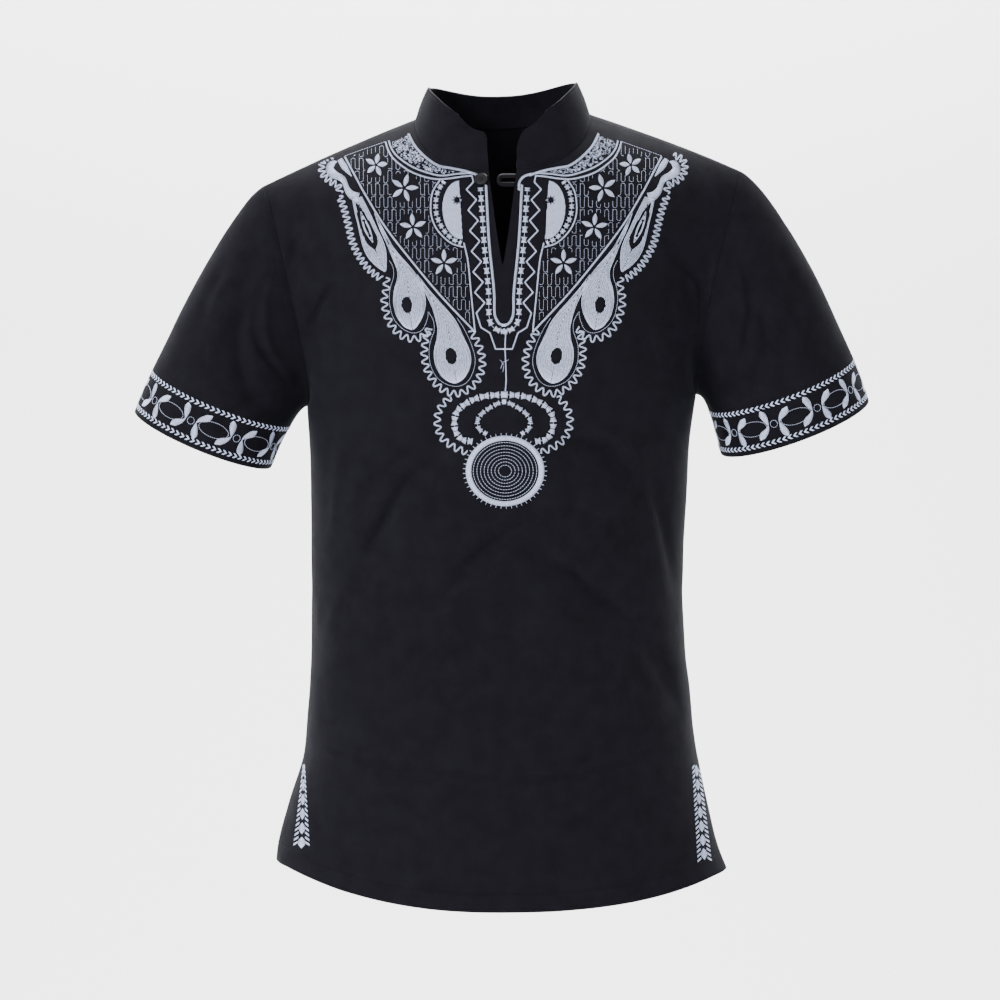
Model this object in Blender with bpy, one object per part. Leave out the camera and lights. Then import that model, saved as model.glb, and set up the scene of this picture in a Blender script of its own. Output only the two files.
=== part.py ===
"""A short-sleeved dashiki shirt with a stand collar and a neck slit, worn and hollow.

The front faces -Y, +Z is up and +X is the wearer's left. The origin is the middle of the
wearer's neck at the height of the shoulder line. Every size below is in millimetres.
"""

import math

import bpy
import numpy as np

MM = 0.001

# Cloth
WALL = 1.5
HEM_WALL = 2.4
COLLAR_WALL = 2.4
SEAM_PULL = 0.16
CLOTH_COLOUR = (0.012, 0.012, 0.016, 1.0)
BUTTON_COLOUR = (0.01, 0.01, 0.011, 1.0)

# Torso below the underarm: one row for each level section
BODY_COLUMNS = ("height", "right_half", "left_half", "front", "back")
BODY_SECTIONS = (
    (-740.0, 219.0, 226.0, 131.0, 120.0),
    (-700.0, 217.5, 209.0, 129.0, 118.0),
    (-656.0, 206.5, 198.0, 126.0, 114.0),
    (-612.0, 192.5, 188.5, 123.0, 108.0),
    (-558.0, 186.0, 181.0, 121.0, 102.0),
    (-461.0, 183.5, 173.0, 119.0, 98.0),
    (-364.0, 183.0, 176.5, 120.0, 103.0),
    (-306.0, 183.5, 179.5, 117.0, 107.0),
    (-268.0, 186.0, 185.0, 116.0, 108.0),
)
BODY_SQUARENESS = 2.4
HEM_SQUARENESS = 2.05
HEM_SQUARE_SPAN = 220.0
UNDERARM_Z = -268.0

# Hem, and the side vents that open up from it
FRONT_HEM_Z = -735.0
BACK_HEM_Z = -737.0
HEM_CORNER_Z = {-1: -710.0, 1: -718.0}
HEM_CURVE_END = 0.8
HEM_CURVE_POWER = 1.3
VENT_ROW_SHARE = 0.25
VENT_FRONT_FORWARD = 12.0
VENT_BACK_BEHIND = 16.0
VENT_BACK_INWARD = 9.0
VENT_OPEN_POWER = 1.2
VENT_CORNER_POWER = 4
HEM_ROWS = 2

# Shoulders and armholes
SHOULDER_HALF = 223.0
NECK_HALF = 83.0
SHOULDER_SEAM_Y = -14.0
NECK_SEAM_Z = -4.5
SHOULDER_SLOPE = 0.345
SHOULDER_DROOP = 0.00034
CENTRE_RISE = 133.0
ARMHOLE_RISE = 8.0
ARMHOLE_SCOOP = 0.31
SEAM_HANDLE_CENTRE = (0.0, -105.0, -40.0)
SEAM_HANDLE_ARMHOLE = (-10.0, -52.0, -36.0)
BACK_HANDLE_SHARE = (1.05, 0.8)
SHOULDER_TILT = 0.03
TILT_TOP_Z = -300.0
TILT_END_Z = -480.0

# Neckline and slit, as shares of a column's way up to the shoulder line
FRONT_NECK_SHARE = 0.66
BACK_NECK_SHARE = 0.70
SLIT_SHARE = 8 / 15
SLIT_HALF_GAP = 12.0
SLIT_CURVE_POWER = 0.85

# Collar
COLLAR_COLUMNS = ("share_round_half", "height")
COLLAR_HEIGHTS = (
    (0.0, 38.5),
    (0.12, 41.0),
    (0.27, 45.0),
    (0.4, 41.0),
    (0.5, 36.0),
    (0.62, 30.0),
    (1.0, 32.0),
)
COLLAR_LEAN = math.radians(22)
COLLAR_AXIS_Y = -8.0
COLLAR_BOW = 1.2
COLLAR_CORNER = {-1: 5.5, 1: 19.0}
COLLAR_ROWS = 4

# Sleeves, by side: -1 is the wearer's right and 1 the left
CUFF_CENTRE = {-1: (-286.5, 0.0, -304.5), 1: (279.6, 0.0, -293.0)}
CUFF_HALF_WIDTH = {-1: 70.5, 1: 75.0}
CUFF_HALF_DEPTH = {-1: 63.0, 1: 65.0}
CUFF_RISE = {-1: 0.42, 1: 0.371}
CUFF_PITCH = {-1: 0.11, 1: 0.15}
SLEEVE_LEAVE_COLUMNS = ("outward", "forward", "up")
SLEEVE_LEAVE_UNDERARM = (0.9, 0.3, -0.02)
SLEEVE_LEAVE_SHOULDER = (0.93, 0.3, -0.37)
SLEEVE_START_LENGTHS = {-1: (12.0, 14.0, 9.0), 1: (12.0, 18.0, 9.0)}
SLEEVE_END_LENGTHS = (15.0, 90.0)

# Soft folds of the cloth: start, bend and end are (x, z) seen from the front
FOLD_COLUMNS = ("start", "bend", "end", "depth", "width")
FRONT_FOLDS = (
    ((-190, -100), (-213, -150), (-196, -250), 4.5, 11),
    ((-132, -150), (-172, -152), (-182, -226), 5.0, 12),
    ((204, -108), (192, -150), (192, -246), 4.5, 11),
    ((150, -122), (182, -142), (184, -196), 4.0, 13),
    ((-52, -306), (-110, -350), (-142, -452), 6.5, 17),
    ((58, -362), (0, -386), (-62, -458), 5.0, 16),
    ((46, -312), (100, -286), (130, -348), 5.0, 15),
    ((4, -394), (70, -424), (132, -482), 4.5, 14),
    ((134, -300), (152, -372), (164, -440), 4.5, 13),
    ((124, -478), (156, -515), (170, -575), 4.0, 13),
    ((-176, -560), (-150, -500), (-128, -440), -3.0, 16),
)
BACK_FOLDS = (
    ((-186, -110), (-204, -160), (-186, -246), 4.5, 12),
    ((186, -110), (204, -160), (186, -246), 4.5, 12),
    ((-150, -250), (-96, -320), (-40, -350), 5.0, 16),
    ((148, -262), (90, -340), (24, -372), 5.0, 16),
    ((-140, -420), (-80, -470), (-10, -478), 4.5, 18),
    ((136, -440), (96, -505), (40, -530), 4.5, 16),
    ((-60, -700), (-70, -600), (-44, -520), -4.0, 24),
    ((70, -704), (84, -620), (96, -560), -4.0, 22),
)
SLEEVE_FOLDS = {
    -1: (
        ((-240, -178), (-252, -246), (-222, -278), 5.0, 11),
        ((-226, -112), (-246, -190), (-262, -236), 3.5, 10),
    ),
    1: (
        ((236, -150), (250, -216), (226, -262), 4.5, 11),
        ((262, -140), (270, -200), (262, -256), 3.5, 12),
    ),
}
SLEEVE_BACK_FOLD_DROP = 8
FOLD_SAMPLES = 14
FOLD_EDGE_FADE = 0.07
FOLD_TOP_ROWS = 3
FOLD_TURN_FADE = 0.25
FOLD_TIP = 0.04
FOLD_TAPER_POWER = 0.7

# Button and loop at the top of the slit
BUTTON_RADIUS = 5.8
BUTTON_THICKNESS = 2.6
BUTTON_RIM = 1.1
BUTTON_DISH = 0.7
BUTTON_AT = (-19.5, -62.0)
BUTTON_HOLE_RADIUS = 0.75
BUTTON_HOLE_SPREAD = 1.5
BUTTON_LIFT = 0.8
BUTTON_ROUNDING = 0.55
BUTTON_SIDES = 24
BORE_SIDES = 10
BORE_ENDS = (-3.0, 8.0)
FASTENER_GAP = 0.3
LOOP_RADIUS = 2.1
LOOP_HALF_HEIGHT = 3.9
LOOP_REACH = 17.0
LOOP_Z = -62.0
LOOP_TURN_STEPS = 10

# Mesh divisions
NECK_COLUMNS = 8
SHOULDER_COLUMNS = 9
HALF_COLUMNS = NECK_COLUMNS + SHOULDER_COLUMNS
LOWER_ROWS = 20
UPPER_ROWS = 15
SLEEVE_ROWS = 9
VENT_ROW = round(LOWER_ROWS * VENT_ROW_SHARE)
SLIT_ROW = round(UPPER_ROWS * SLIT_SHARE)
SHARP_ANGLE = math.radians(40)


def smooth_step(value):
    share = np.clip(value, 0.0, 1.0)
    return share * share * (3 - 2 * share)


def unit(vectors):
    return vectors / np.maximum(np.linalg.norm(vectors, axis=-1, keepdims=True), 1e-9)


def column_at(name, height):
    """A column of the body table at any height, on a smooth curve through its rows."""
    table = np.array(BODY_SECTIONS)
    heights = table[:, 0]
    values = table[:, BODY_COLUMNS.index(name)]
    slopes = np.gradient(values, heights)
    row = np.clip(np.searchsorted(heights, height) - 1, 0, len(heights) - 2)
    step = heights[row + 1] - heights[row]
    share = np.clip((height - heights[row]) / step, 0.0, 1.0)
    return (
        values[row] * (1 + 2 * share) * (1 - share) ** 2
        + slopes[row] * step * share * (1 - share) ** 2
        + values[row + 1] * share**2 * (3 - 2 * share)
        + slopes[row + 1] * step * share**2 * (share - 1)
    )


def ring_point(column, height, face):
    """A point of the torso: column runs from -1 to 1 round it, and face is -1 in front."""
    angle = column * math.pi / 2
    across, ahead = np.sin(angle), np.cos(angle)
    rounding = smooth_step((height - BODY_SECTIONS[0][0]) / HEM_SQUARE_SPAN)
    power = HEM_SQUARENESS + (BODY_SQUARENESS - HEM_SQUARENESS) * rounding
    size = (np.abs(across) ** power + np.abs(ahead) ** power) ** (-1 / power)
    half = np.where(
        column < 0, column_at("right_half", height), column_at("left_half", height)
    )
    depth = column_at("front" if face < 0 else "back", height)
    return np.stack(
        [half * across * size, face * depth * ahead * size, height + 0 * column], -1
    )


def hem_height(column, face):
    middle = FRONT_HEM_Z if face < 0 else BACK_HEM_Z
    corner = np.where(column < 0, HEM_CORNER_Z[-1], HEM_CORNER_Z[1])
    rise = smooth_step((np.abs(column) / HEM_CURVE_END) ** HEM_CURVE_POWER)
    return middle + (corner - middle) * rise


def lower_point(column, share, face):
    """The torso from the hem, share 0, to the underarm, share 1, with its vents open."""
    hem = hem_height(column, face)
    point = ring_point(column, hem + (UNDERARM_Z - hem) * share, face)
    opened = np.clip(1 - share / VENT_ROW_SHARE, 0.0, 1.0) ** VENT_OPEN_POWER
    opened = opened * column**VENT_CORNER_POWER
    if face < 0:
        point[..., 1] -= VENT_FRONT_FORWARD * opened
    else:
        point[..., 1] += VENT_BACK_BEHIND * opened
        point[..., 0] -= VENT_BACK_INWARD * opened * np.sign(column)
    return point


def shoulder_line(column):
    """The seam over the shoulder, carried on as a smooth line over the neck hole."""
    across = SHOULDER_HALF * column
    out = np.abs(across)
    beyond = NECK_SEAM_Z - SHOULDER_SLOPE * (out - NECK_HALF)
    beyond = beyond - SHOULDER_DROOP * (out - NECK_HALF) ** 2
    within = NECK_SEAM_Z + SHOULDER_SLOPE * (NECK_HALF**2 - out**2) / (2 * NECK_HALF)
    height = np.where(out > NECK_HALF, beyond, within)
    return np.stack([across, SHOULDER_SEAM_Y + 0 * across, height], -1)


def bezier(start, first, second, end, share):
    share = share[..., None]
    rest = 1 - share
    return (
        start * rest**3
        + 3 * first * rest**2 * share
        + 3 * second * rest * share**2
        + end * share**3
    )


def upper_point(column, share, face):
    """The chest or back from the underarm, share 0, to the shoulder line, share 1."""
    start = ring_point(column, UNDERARM_Z + 0 * column, face)
    scooped = column * (1 - ARMHOLE_SCOOP * column**2)
    first = ring_point(scooped, UNDERARM_Z + 0 * column, face)
    first[..., 2] += CENTRE_RISE + (ARMHOLE_RISE - CENTRE_RISE) * column**2
    end = shoulder_line(column)
    spread = (column**2)[..., None]
    centre, armhole = np.array(SEAM_HANDLE_CENTRE), np.array(SEAM_HANDLE_ARMHOLE)
    handle = centre + (armhole - centre) * spread
    handle = handle * np.stack([np.sign(column), 1 + 0 * column, 1 + 0 * column], -1)
    if face < 0:
        second = end + handle
    else:
        middle, side = BACK_HANDLE_SHARE
        second = end - handle * (middle + (side - middle) * spread)
    return bezier(start, first, second, end, share)


def tilted(points):
    """One shoulder is held a little higher, which fades out down the chest."""
    fade = smooth_step((points[..., 2] - TILT_END_Z) / (TILT_TOP_Z - TILT_END_Z))
    points = points.copy()
    points[..., 2] += SHOULDER_TILT * points[..., 0] * fade
    return points


def panel_columns(half_columns, neck_columns):
    """Even columns for the body, the columns that gather at the neck, and their tops."""
    steps = np.arange(half_columns + 1)
    even = steps / half_columns
    neck = NECK_HALF / SHOULDER_HALF
    turn = np.minimum(steps / neck_columns, 1.0) * math.pi / 2
    beyond = np.maximum(steps - neck_columns, 0) / (half_columns - neck_columns)
    gathered = neck * np.sin(turn) + (1 - neck) * beyond
    return even, gathered, np.cos(turn)


def panel_grid(face, side, half_columns, neck_columns, lower_rows, upper_rows):
    """Half a panel as points[row, column], from its centre line out to side."""
    even, gathered, neck_dip = panel_columns(half_columns, neck_columns)
    neck_share = FRONT_NECK_SHARE if face < 0 else BACK_NECK_SHARE
    tops = 1 - (1 - neck_share) * neck_dip
    lower = [
        lower_point(side * even, row / lower_rows, face) for row in range(lower_rows)
    ]
    upper = []
    for row in range(upper_rows + 1):
        way = row / upper_rows
        column = even + (gathered - even) * way**2
        if face < 0:
            opened = max(0.0, way - SLIT_SHARE) / (1 - SLIT_SHARE)
            gap = SLIT_HALF_GAP / SHOULDER_HALF * opened**SLIT_CURVE_POWER
            neck = NECK_HALF / SHOULDER_HALF
            column = column + gap * np.maximum(0.0, 1 - column / neck)
        upper.append(upper_point(side * column, tops * way, face))
    return tilted(np.array(lower + upper))


def fold_depth(points, folds):
    """How far the folds push each point into the cloth, from its place seen in front."""
    total = np.zeros(len(points))
    flat = points[:, [0, 2]]
    for fold in folds:
        start, bend, end = (np.array(place, float) for place in fold[:3])
        depth, width = fold[3:]
        steps = np.linspace(0, 1, FOLD_SAMPLES)[:, None]
        path = (
            start * (1 - steps) ** 2 + 2 * bend * steps * (1 - steps) + end * steps**2
        )
        nearest = np.full(len(flat), np.inf)
        along = np.zeros(len(flat))
        for step in range(FOLD_SAMPLES - 1):
            run = path[step + 1] - path[step]
            share = np.clip((flat - path[step]) @ run / (run @ run), 0, 1)
            away = np.linalg.norm(flat - path[step] - share[:, None] * run, axis=1)
            closer = away < nearest
            nearest = np.where(closer, away, nearest)
            along = np.where(closer, (step + share) / (FOLD_SAMPLES - 1), along)
        inner = np.clip(along, FOLD_TIP, 1 - FOLD_TIP)
        taper = np.sin(math.pi * inner) ** FOLD_TAPER_POWER
        total += depth * taper * np.exp(-((nearest / width) ** 2))
    return total


def sheet_normals(points, faces):
    corners = points[faces]
    face_normals = np.cross(
        corners[:, 2] - corners[:, 0], corners[:, 3] - corners[:, 1]
    )
    normals = np.zeros_like(points)
    for corner in range(4):
        np.add.at(normals, faces[:, corner], face_normals)
    return unit(normals)


class Sheet:
    """One cut piece of cloth: its outer points, faces, thickness and sewn edges."""

    def __init__(self, name, wall):
        self.name = name
        self.wall = wall
        self.points = []
        self.faces = []
        self.thickness = []
        self.seams = []

    def add_grid(self, index):
        """Faces between neighbouring entries of index[row, column], outer side out."""
        for row in range(index.shape[0] - 1):
            for column in range(index.shape[1] - 1):
                self.faces.append(
                    (
                        index[row, column],
                        index[row, column + 1],
                        index[row + 1, column + 1],
                        index[row + 1, column],
                    )
                )

    def close(self):
        self.points = np.array(self.points)
        self.faces = np.array(self.faces)
        self.thickness = np.array(self.thickness)
        self.normals = sheet_normals(self.points, self.faces)

    def add_seam(self, edges, beside, closed=False):
        """A sewn edge, the points next to it inside the piece, and whether it loops."""
        self.seams.append((np.array(edges), np.array(beside), closed))

    def seam_ways(self):
        """For each seam its points and the directions that lead from it into the cloth."""
        for edges, beside, closed in self.seams:
            line = self.points[edges]
            if closed:
                tangents = np.roll(line, -1, axis=0) - np.roll(line, 1, axis=0)
            else:
                tangents = np.gradient(line, axis=0)
            tangents = unit(tangents)
            ways = self.points[beside] - line
            ways -= tangents * np.sum(ways * tangents, axis=1, keepdims=True)
            yield edges, unit(ways)

    def fold(self, folds, fade, facing):
        """Presses the folds in, on the side of the sheet that facing, -1 or 1, picks."""
        depth = fold_depth(self.points, folds) * fade
        depth *= smooth_step(self.normals[:, 1] * facing / FOLD_TURN_FADE)
        self.points = self.points - self.normals * depth[:, None]
        self.normals = sheet_normals(self.points, self.faces)


def panel(name, face):
    """A front or back panel. Its two halves share the centre line below the slit."""
    sheet = Sheet(name, WALL)
    fades = []
    rows = LOWER_ROWS + UPPER_ROWS + 1
    index = {}
    for side in (-1, 1):
        points = panel_grid(
            face, side, HALF_COLUMNS, NECK_COLUMNS, LOWER_ROWS, UPPER_ROWS
        )
        index[side] = np.zeros((rows, HALF_COLUMNS + 1), int)
        for row in range(rows):
            for column in range(HALF_COLUMNS + 1):
                split = face < 0 and row > LOWER_ROWS + SLIT_ROW
                if side > 0 and column == 0 and not split:
                    index[side][row, 0] = index[-1][row, 0]
                    continue
                index[side][row, column] = len(sheet.points)
                sheet.points.append(points[row, column])
                sheet.thickness.append(HEM_WALL if row < HEM_ROWS else WALL)
                fades.append(
                    smooth_step((1 - column / HALF_COLUMNS) / FOLD_EDGE_FADE)
                    * smooth_step((rows - 1 - row) / FOLD_TOP_ROWS)
                )
        sheet.add_seam(index[side][VENT_ROW:, -1], index[side][VENT_ROW:, -2])
    right, left = index[-1], index[1]
    if face < 0:
        sheet.add_grid(right[:, ::-1])
        sheet.add_grid(left)
    else:
        sheet.add_grid(right)
        sheet.add_grid(left[:, ::-1])
    if face < 0:
        # The slit parts the front's top edge.
        sheet.add_seam(right[-1], right[-2])
        sheet.add_seam(left[-1], left[-2])
    else:
        top = np.concatenate([right[-1, ::-1], left[-1, 1:]])
        below = np.concatenate([right[-2, ::-1], left[-2, 1:]])
        sheet.add_seam(top, below)
    sheet.index = index
    sheet.close()
    sheet.fold(FRONT_FOLDS if face < 0 else BACK_FOLDS, np.array(fades), face)
    return sheet


def armhole_loop(front, back, side):
    """The sewn loop from the underarm up the front and down the back."""
    up = front.index[side][LOWER_ROWS:, -1]
    down = back.index[side][LOWER_ROWS:, -1][::-1]
    return np.concatenate([front.points[up], back.points[down][1:-1]])


def sleeve_frame(side):
    """The cuff's outward, forward and downward directions."""
    outward = unit(np.array([side * 1.0, 0.0, CUFF_RISE[side]]))
    forward = unit(np.array([0.0, -1.0, -CUFF_PITCH[side]]))
    downward = np.cross(outward, forward) * side
    return outward, forward, unit(downward) * -np.sign(downward[2])


def sleeve_point(start, angle, share, side):
    """The sleeve from an armhole point, share 0, to the cuff at that angle, share 1."""
    outward, forward, downward = sleeve_frame(side)
    turn, lift = np.sin(angle)[:, None], ((1 - np.cos(angle)) / 2)[:, None]
    end = (
        np.array(CUFF_CENTRE[side])
        - outward * CUFF_HALF_WIDTH[side] * np.cos(angle)[:, None]
        + forward * CUFF_HALF_DEPTH[side] * turn
    )
    low, high = np.array(SLEEVE_LEAVE_UNDERARM), np.array(SLEEVE_LEAVE_SHOULDER)
    leave = low + (high - low) * lift
    leave = leave * np.concatenate([side + 0 * turn, -turn, 1 + 0 * turn], axis=1)
    short, top, face = SLEEVE_START_LENGTHS[side]
    first = start + unit(leave) * (short + top * lift + face * np.abs(turn))
    short, top = SLEEVE_END_LENGTHS
    second = end - downward * (short + top * lift)
    return bezier(start, first, second, end, np.full(len(start), share))


def loop_angles(loop, top):
    """Angles round the cuff in step with the length along the armhole loop."""
    closed = np.concatenate([loop, loop[:1]])
    lengths = np.linalg.norm(np.diff(closed, axis=0), axis=1)
    run = np.concatenate([[0.0], np.cumsum(lengths)])
    front = run[: top + 1] / run[top]
    back = (run[top:-1] - run[top]) / (run[-1] - run[top])
    return np.concatenate([front * math.pi, math.pi + back[1:] * math.pi])


def sleeve(name, side, loop):
    sheet = Sheet(name, WALL)
    angles = loop_angles(loop, UPPER_ROWS)
    around = len(loop)
    index = np.arange((SLEEVE_ROWS + 1) * around).reshape(SLEEVE_ROWS + 1, around)
    fades = []
    for row in range(SLEEVE_ROWS + 1):
        share = row / SLEEVE_ROWS
        sheet.points.extend(sleeve_point(loop, angles, share, side))
        wall = HEM_WALL if row > SLEEVE_ROWS - HEM_ROWS else WALL
        sheet.thickness.extend([wall] * around)
        fades.extend([smooth_step(row / 2) * smooth_step((1 - share) * 4)] * around)
    sheet.add_seam(index[0], index[1], closed=True)
    wrapped = np.concatenate([index, index[:, :1]], axis=1)
    sheet.add_grid(wrapped[:, ::-1] if side > 0 else wrapped)
    sheet.index = index
    sheet.close()
    sheet.fold(SLEEVE_FOLDS[side], np.array(fades), -1)
    back_folds = [
        tuple((x, z - SLEEVE_BACK_FOLD_DROP) for x, z in fold[:3]) + fold[3:]
        for fold in SLEEVE_FOLDS[side]
    ]
    sheet.fold(back_folds, np.array(fades), 1)
    return sheet


def neck_path(front, back):
    """The neckline's points from one end of the slit round the back to the other."""
    top = LOWER_ROWS + UPPER_ROWS
    path = []
    for side, order in ((-1, 1), (1, -1)):
        fore = front.points[front.index[side][top, : NECK_COLUMNS + 1]]
        aft = back.points[back.index[side][top, : NECK_COLUMNS + 1]]
        half = np.concatenate([fore, aft[:-1][::-1]])
        path.append(half[::order])
    return np.concatenate([path[0], path[1][1:]])


def collar(front, back):
    """The stand collar: it rises from the neckline and leans in towards the neck."""
    sheet = Sheet("collar", COLLAR_WALL)
    seam = neck_path(front, back)
    middles = (seam[1:] + seam[:-1]) / 2
    base = np.empty((2 * len(seam) - 1, 3))
    base[::2], base[1::2] = seam, middles
    lengths = np.linalg.norm(np.diff(base, axis=0), axis=1)
    run = np.concatenate([[0.0], np.cumsum(lengths)])
    inward = np.stack(
        [-base[:, 0], COLLAR_AXIS_Y - base[:, 1], np.zeros(len(base))], axis=1
    )
    inward = unit(inward)
    along = unit(np.gradient(base, axis=0))
    upward = inward * math.sin(COLLAR_LEAN) + [0.0, 0.0, math.cos(COLLAR_LEAN)]
    upward = unit(upward - along * np.sum(upward * along, axis=1, keepdims=True))
    shares, sizes = np.array(COLLAR_HEIGHTS).T
    heights = np.interp(1 - np.abs(2 * run / run[-1] - 1), shares, sizes)
    for side, away in ((-1, run), (1, run[-1] - run)):
        radius = COLLAR_CORNER[side]
        near = away < radius
        heights[near] -= radius - np.sqrt(radius**2 - (radius - away[near]) ** 2)
    index = np.arange((COLLAR_ROWS + 1) * len(base)).reshape(COLLAR_ROWS + 1, -1)
    for row in range(COLLAR_ROWS + 1):
        share = row / COLLAR_ROWS
        rise = heights * share
        bow = -COLLAR_BOW * math.sin(math.pi * share)
        sheet.points.extend(base + upward * rise[:, None] + inward * bow)
        sheet.thickness.extend([COLLAR_WALL] * len(base))
    sheet.add_seam(index[0], index[1])
    sheet.add_grid(index[:, ::-1])
    sheet.index = index
    sheet.close()
    return sheet


def place_of(point):
    return tuple(np.round(point, 3))


def into_piece(tangent, normal, hint):
    """The direction that leaves a seam along a piece's surface, on the hint's side."""
    way = np.cross(tangent, normal)
    return way if way @ hint > 0 else -way


def share_seam_normals(body, sewn_on):
    """Where pieces meet, all take one normal midway, so that their edges lie parallel."""
    sums, inward = {}, {}
    for sheet in body:
        for point, normal in zip(sheet.points, sheet.normals):
            sums.setdefault(place_of(point), np.zeros(3))
            sums[place_of(point)] += normal
        for edges, ways in sheet.seam_ways():
            for point, way in zip(sheet.points[edges], ways):
                inward.setdefault(place_of(point), np.zeros(3))
                inward[place_of(point)] += way
    shared = {place: unit(total) for place, total in sums.items()}
    for sheet in sewn_on:
        seam, beside = sheet.points[sheet.index[0]], sheet.points[sheet.index[1]]
        missing = []
        for number, edge in enumerate(sheet.index[0]):
            place = place_of(seam[number])
            if place not in sums:
                missing.append(number)
                continue
            before, after = seam[number - 1], seam[(number + 1) % len(seam)]
            tangent = unit(after - before)
            on_body, on_sewn = unit(sums[place]), sheet.normals[edge]
            body_way = into_piece(tangent, on_body, inward[place])
            sewn_way = into_piece(tangent, on_sewn, beside[number] - seam[number])
            bend = np.sign(sewn_way @ on_body) * (body_way + sewn_way)
            shared[place] = unit(on_body + on_sewn + bend)
            sheet.normals[edge] = shared[place]
        for number in missing:
            around = sheet.index[0][[number - 1, number + 1]]
            sheet.normals[sheet.index[0][number]] = sheet.normals[around].mean(axis=0)
    for sheet in body:
        for number, point in enumerate(sheet.points):
            sheet.normals[number] = shared[place_of(point)]


def cloth_material(name, colour, roughness):
    material = bpy.data.materials.new(name)
    material.use_nodes = True
    shader = material.node_tree.nodes["Principled BSDF"]
    shader.inputs["Base Color"].default_value = colour
    shader.inputs["Roughness"].default_value = roughness
    shader.inputs["Metallic"].default_value = 0.0
    return material


def add_object(name, points, faces, material):
    mesh = bpy.data.meshes.new(name)
    mesh.from_pydata([tuple(p * MM) for p in points], [], [tuple(f) for f in faces])
    mesh.update()
    mesh.shade_smooth()
    mesh.set_sharp_from_angle(angle=SHARP_ANGLE)
    mesh.materials.append(material)
    shape = bpy.data.objects.new(name, mesh)
    bpy.context.scene.collection.objects.link(shape)
    return shape


def build_wall(sheet, material):
    """Turns a sheet into a closed wall, its edges pulled back from the seams."""
    outer = sheet.points.copy()
    for edges, ways in sheet.seam_ways():
        outer[edges] += ways * SEAM_PULL
    inside = outer - sheet.normals * sheet.thickness[:, None]
    count = len(outer)
    directed = set()
    for face in sheet.faces:
        for corner in range(4):
            directed.add((face[corner], face[(corner + 1) % 4]))
    faces = [tuple(face) for face in sheet.faces]
    faces += [tuple(count + spot for spot in face[::-1]) for face in sheet.faces]
    for start, end in sorted(directed):
        if (end, start) in directed:
            continue
        rim = (end, start, count + start, count + end)
        # Both sides of a seam cut their rims along the same diagonal.
        if tuple(sheet.points[start]) < tuple(sheet.points[end]):
            faces += [(rim[0], rim[1], rim[3]), (rim[1], rim[2], rim[3])]
        else:
            faces += [(rim[0], rim[1], rim[2]), (rim[0], rim[2], rim[3])]
    return add_object(sheet.name, np.concatenate([outer, inside]), faces, material)


def surface_under(sheet, place):
    """The sheet's point and normal at (x, z), seen from the front."""
    halves = np.concatenate([sheet.faces[:, [0, 1, 2]], sheet.faces[:, [0, 2, 3]]])
    flat = sheet.points[:, [0, 2]]
    corner, first, second = (flat[halves[:, number]] for number in range(3))
    first, second, reach = first - corner, second - corner, np.array(place) - corner
    area = first[:, 0] * second[:, 1] - first[:, 1] * second[:, 0]
    area = np.where(np.abs(area) < 1e-9, 1e-9, area)
    to_first = (reach[:, 0] * second[:, 1] - reach[:, 1] * second[:, 0]) / area
    to_second = (first[:, 0] * reach[:, 1] - first[:, 1] * reach[:, 0]) / area
    weights = np.stack([1 - to_first - to_second, to_first, to_second], axis=1)
    found = np.argmax(weights.min(axis=1))
    corners = halves[found]
    point = weights[found] @ sheet.points[corners]
    return point, unit(weights[found] @ sheet.normals[corners])


def build_button(front, material):
    """A small four-hole button with a raised rim, lying on the cloth."""
    centre, normal = surface_under(front, BUTTON_AT)
    across = unit(np.cross(normal, [0.0, 0.0, 1.0]))
    up = np.cross(across, normal)
    inside = BUTTON_RADIUS - BUTTON_RIM
    rings = (
        (BUTTON_RADIUS - BUTTON_ROUNDING, 0.0),
        (BUTTON_RADIUS, BUTTON_ROUNDING),
        (BUTTON_RADIUS, BUTTON_THICKNESS - BUTTON_ROUNDING),
        (BUTTON_RADIUS - BUTTON_ROUNDING, BUTTON_THICKNESS),
        (inside, BUTTON_THICKNESS),
        (inside - BUTTON_ROUNDING, BUTTON_THICKNESS - BUTTON_DISH),
    )
    sides = BUTTON_SIDES
    points, faces = [], []
    for radius, height in rings:
        for step in range(sides):
            angle = 2 * math.pi * step / sides
            flat = across * math.cos(angle) * radius + up * math.sin(angle) * radius
            points.append(centre + flat + normal * (BUTTON_LIFT + height))
    for ring in range(len(rings) - 1):
        for step in range(sides):
            after = (step + 1) % sides
            low, high = ring * sides, (ring + 1) * sides
            faces.append((low + after, low + step, high + step, high + after))
    faces.append(tuple(range(sides)))
    faces.append(tuple(range(len(points) - 1, len(points) - 1 - sides, -1)))
    button = add_object("button", points, faces, material)
    for number in range(4):
        angle = math.pi / 4 + number * math.pi / 2
        spot = centre + BUTTON_HOLE_SPREAD * (
            across * math.cos(angle) + up * math.sin(angle)
        )
        bore_cutter(button, spot, normal, f"button_bore_{number}")
    return button


def bore_cutter(button, spot, normal, name):
    """A hidden rod that cuts one sewing hole through the button."""
    across = unit(np.cross(normal, [0.0, 0.0, 1.0]))
    up = np.cross(across, normal)
    sides = BORE_SIDES
    points = []
    for height in BORE_ENDS:
        for step in range(sides):
            angle = 2 * math.pi * step / sides
            flat = across * math.cos(angle) + up * math.sin(angle)
            points.append(spot + flat * BUTTON_HOLE_RADIUS + normal * height)
    faces = [tuple(range(sides)), tuple(range(2 * sides - 1, sides - 1, -1))]
    for step in range(sides):
        after = (step + 1) % sides
        faces.append((after, step, sides + step, sides + after))
    mesh = bpy.data.meshes.new(name)
    mesh.from_pydata([tuple(p * MM) for p in points], [], faces)
    cutter = bpy.data.objects.new(name, mesh)
    bpy.context.scene.collection.objects.link(cutter)
    cutter.hide_render = True
    cutter.display_type = "WIRE"
    cut = button.modifiers.new(name, "BOOLEAN")
    cut.operation = "DIFFERENCE"
    cut.solver = "EXACT"
    cut.object = cutter


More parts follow.
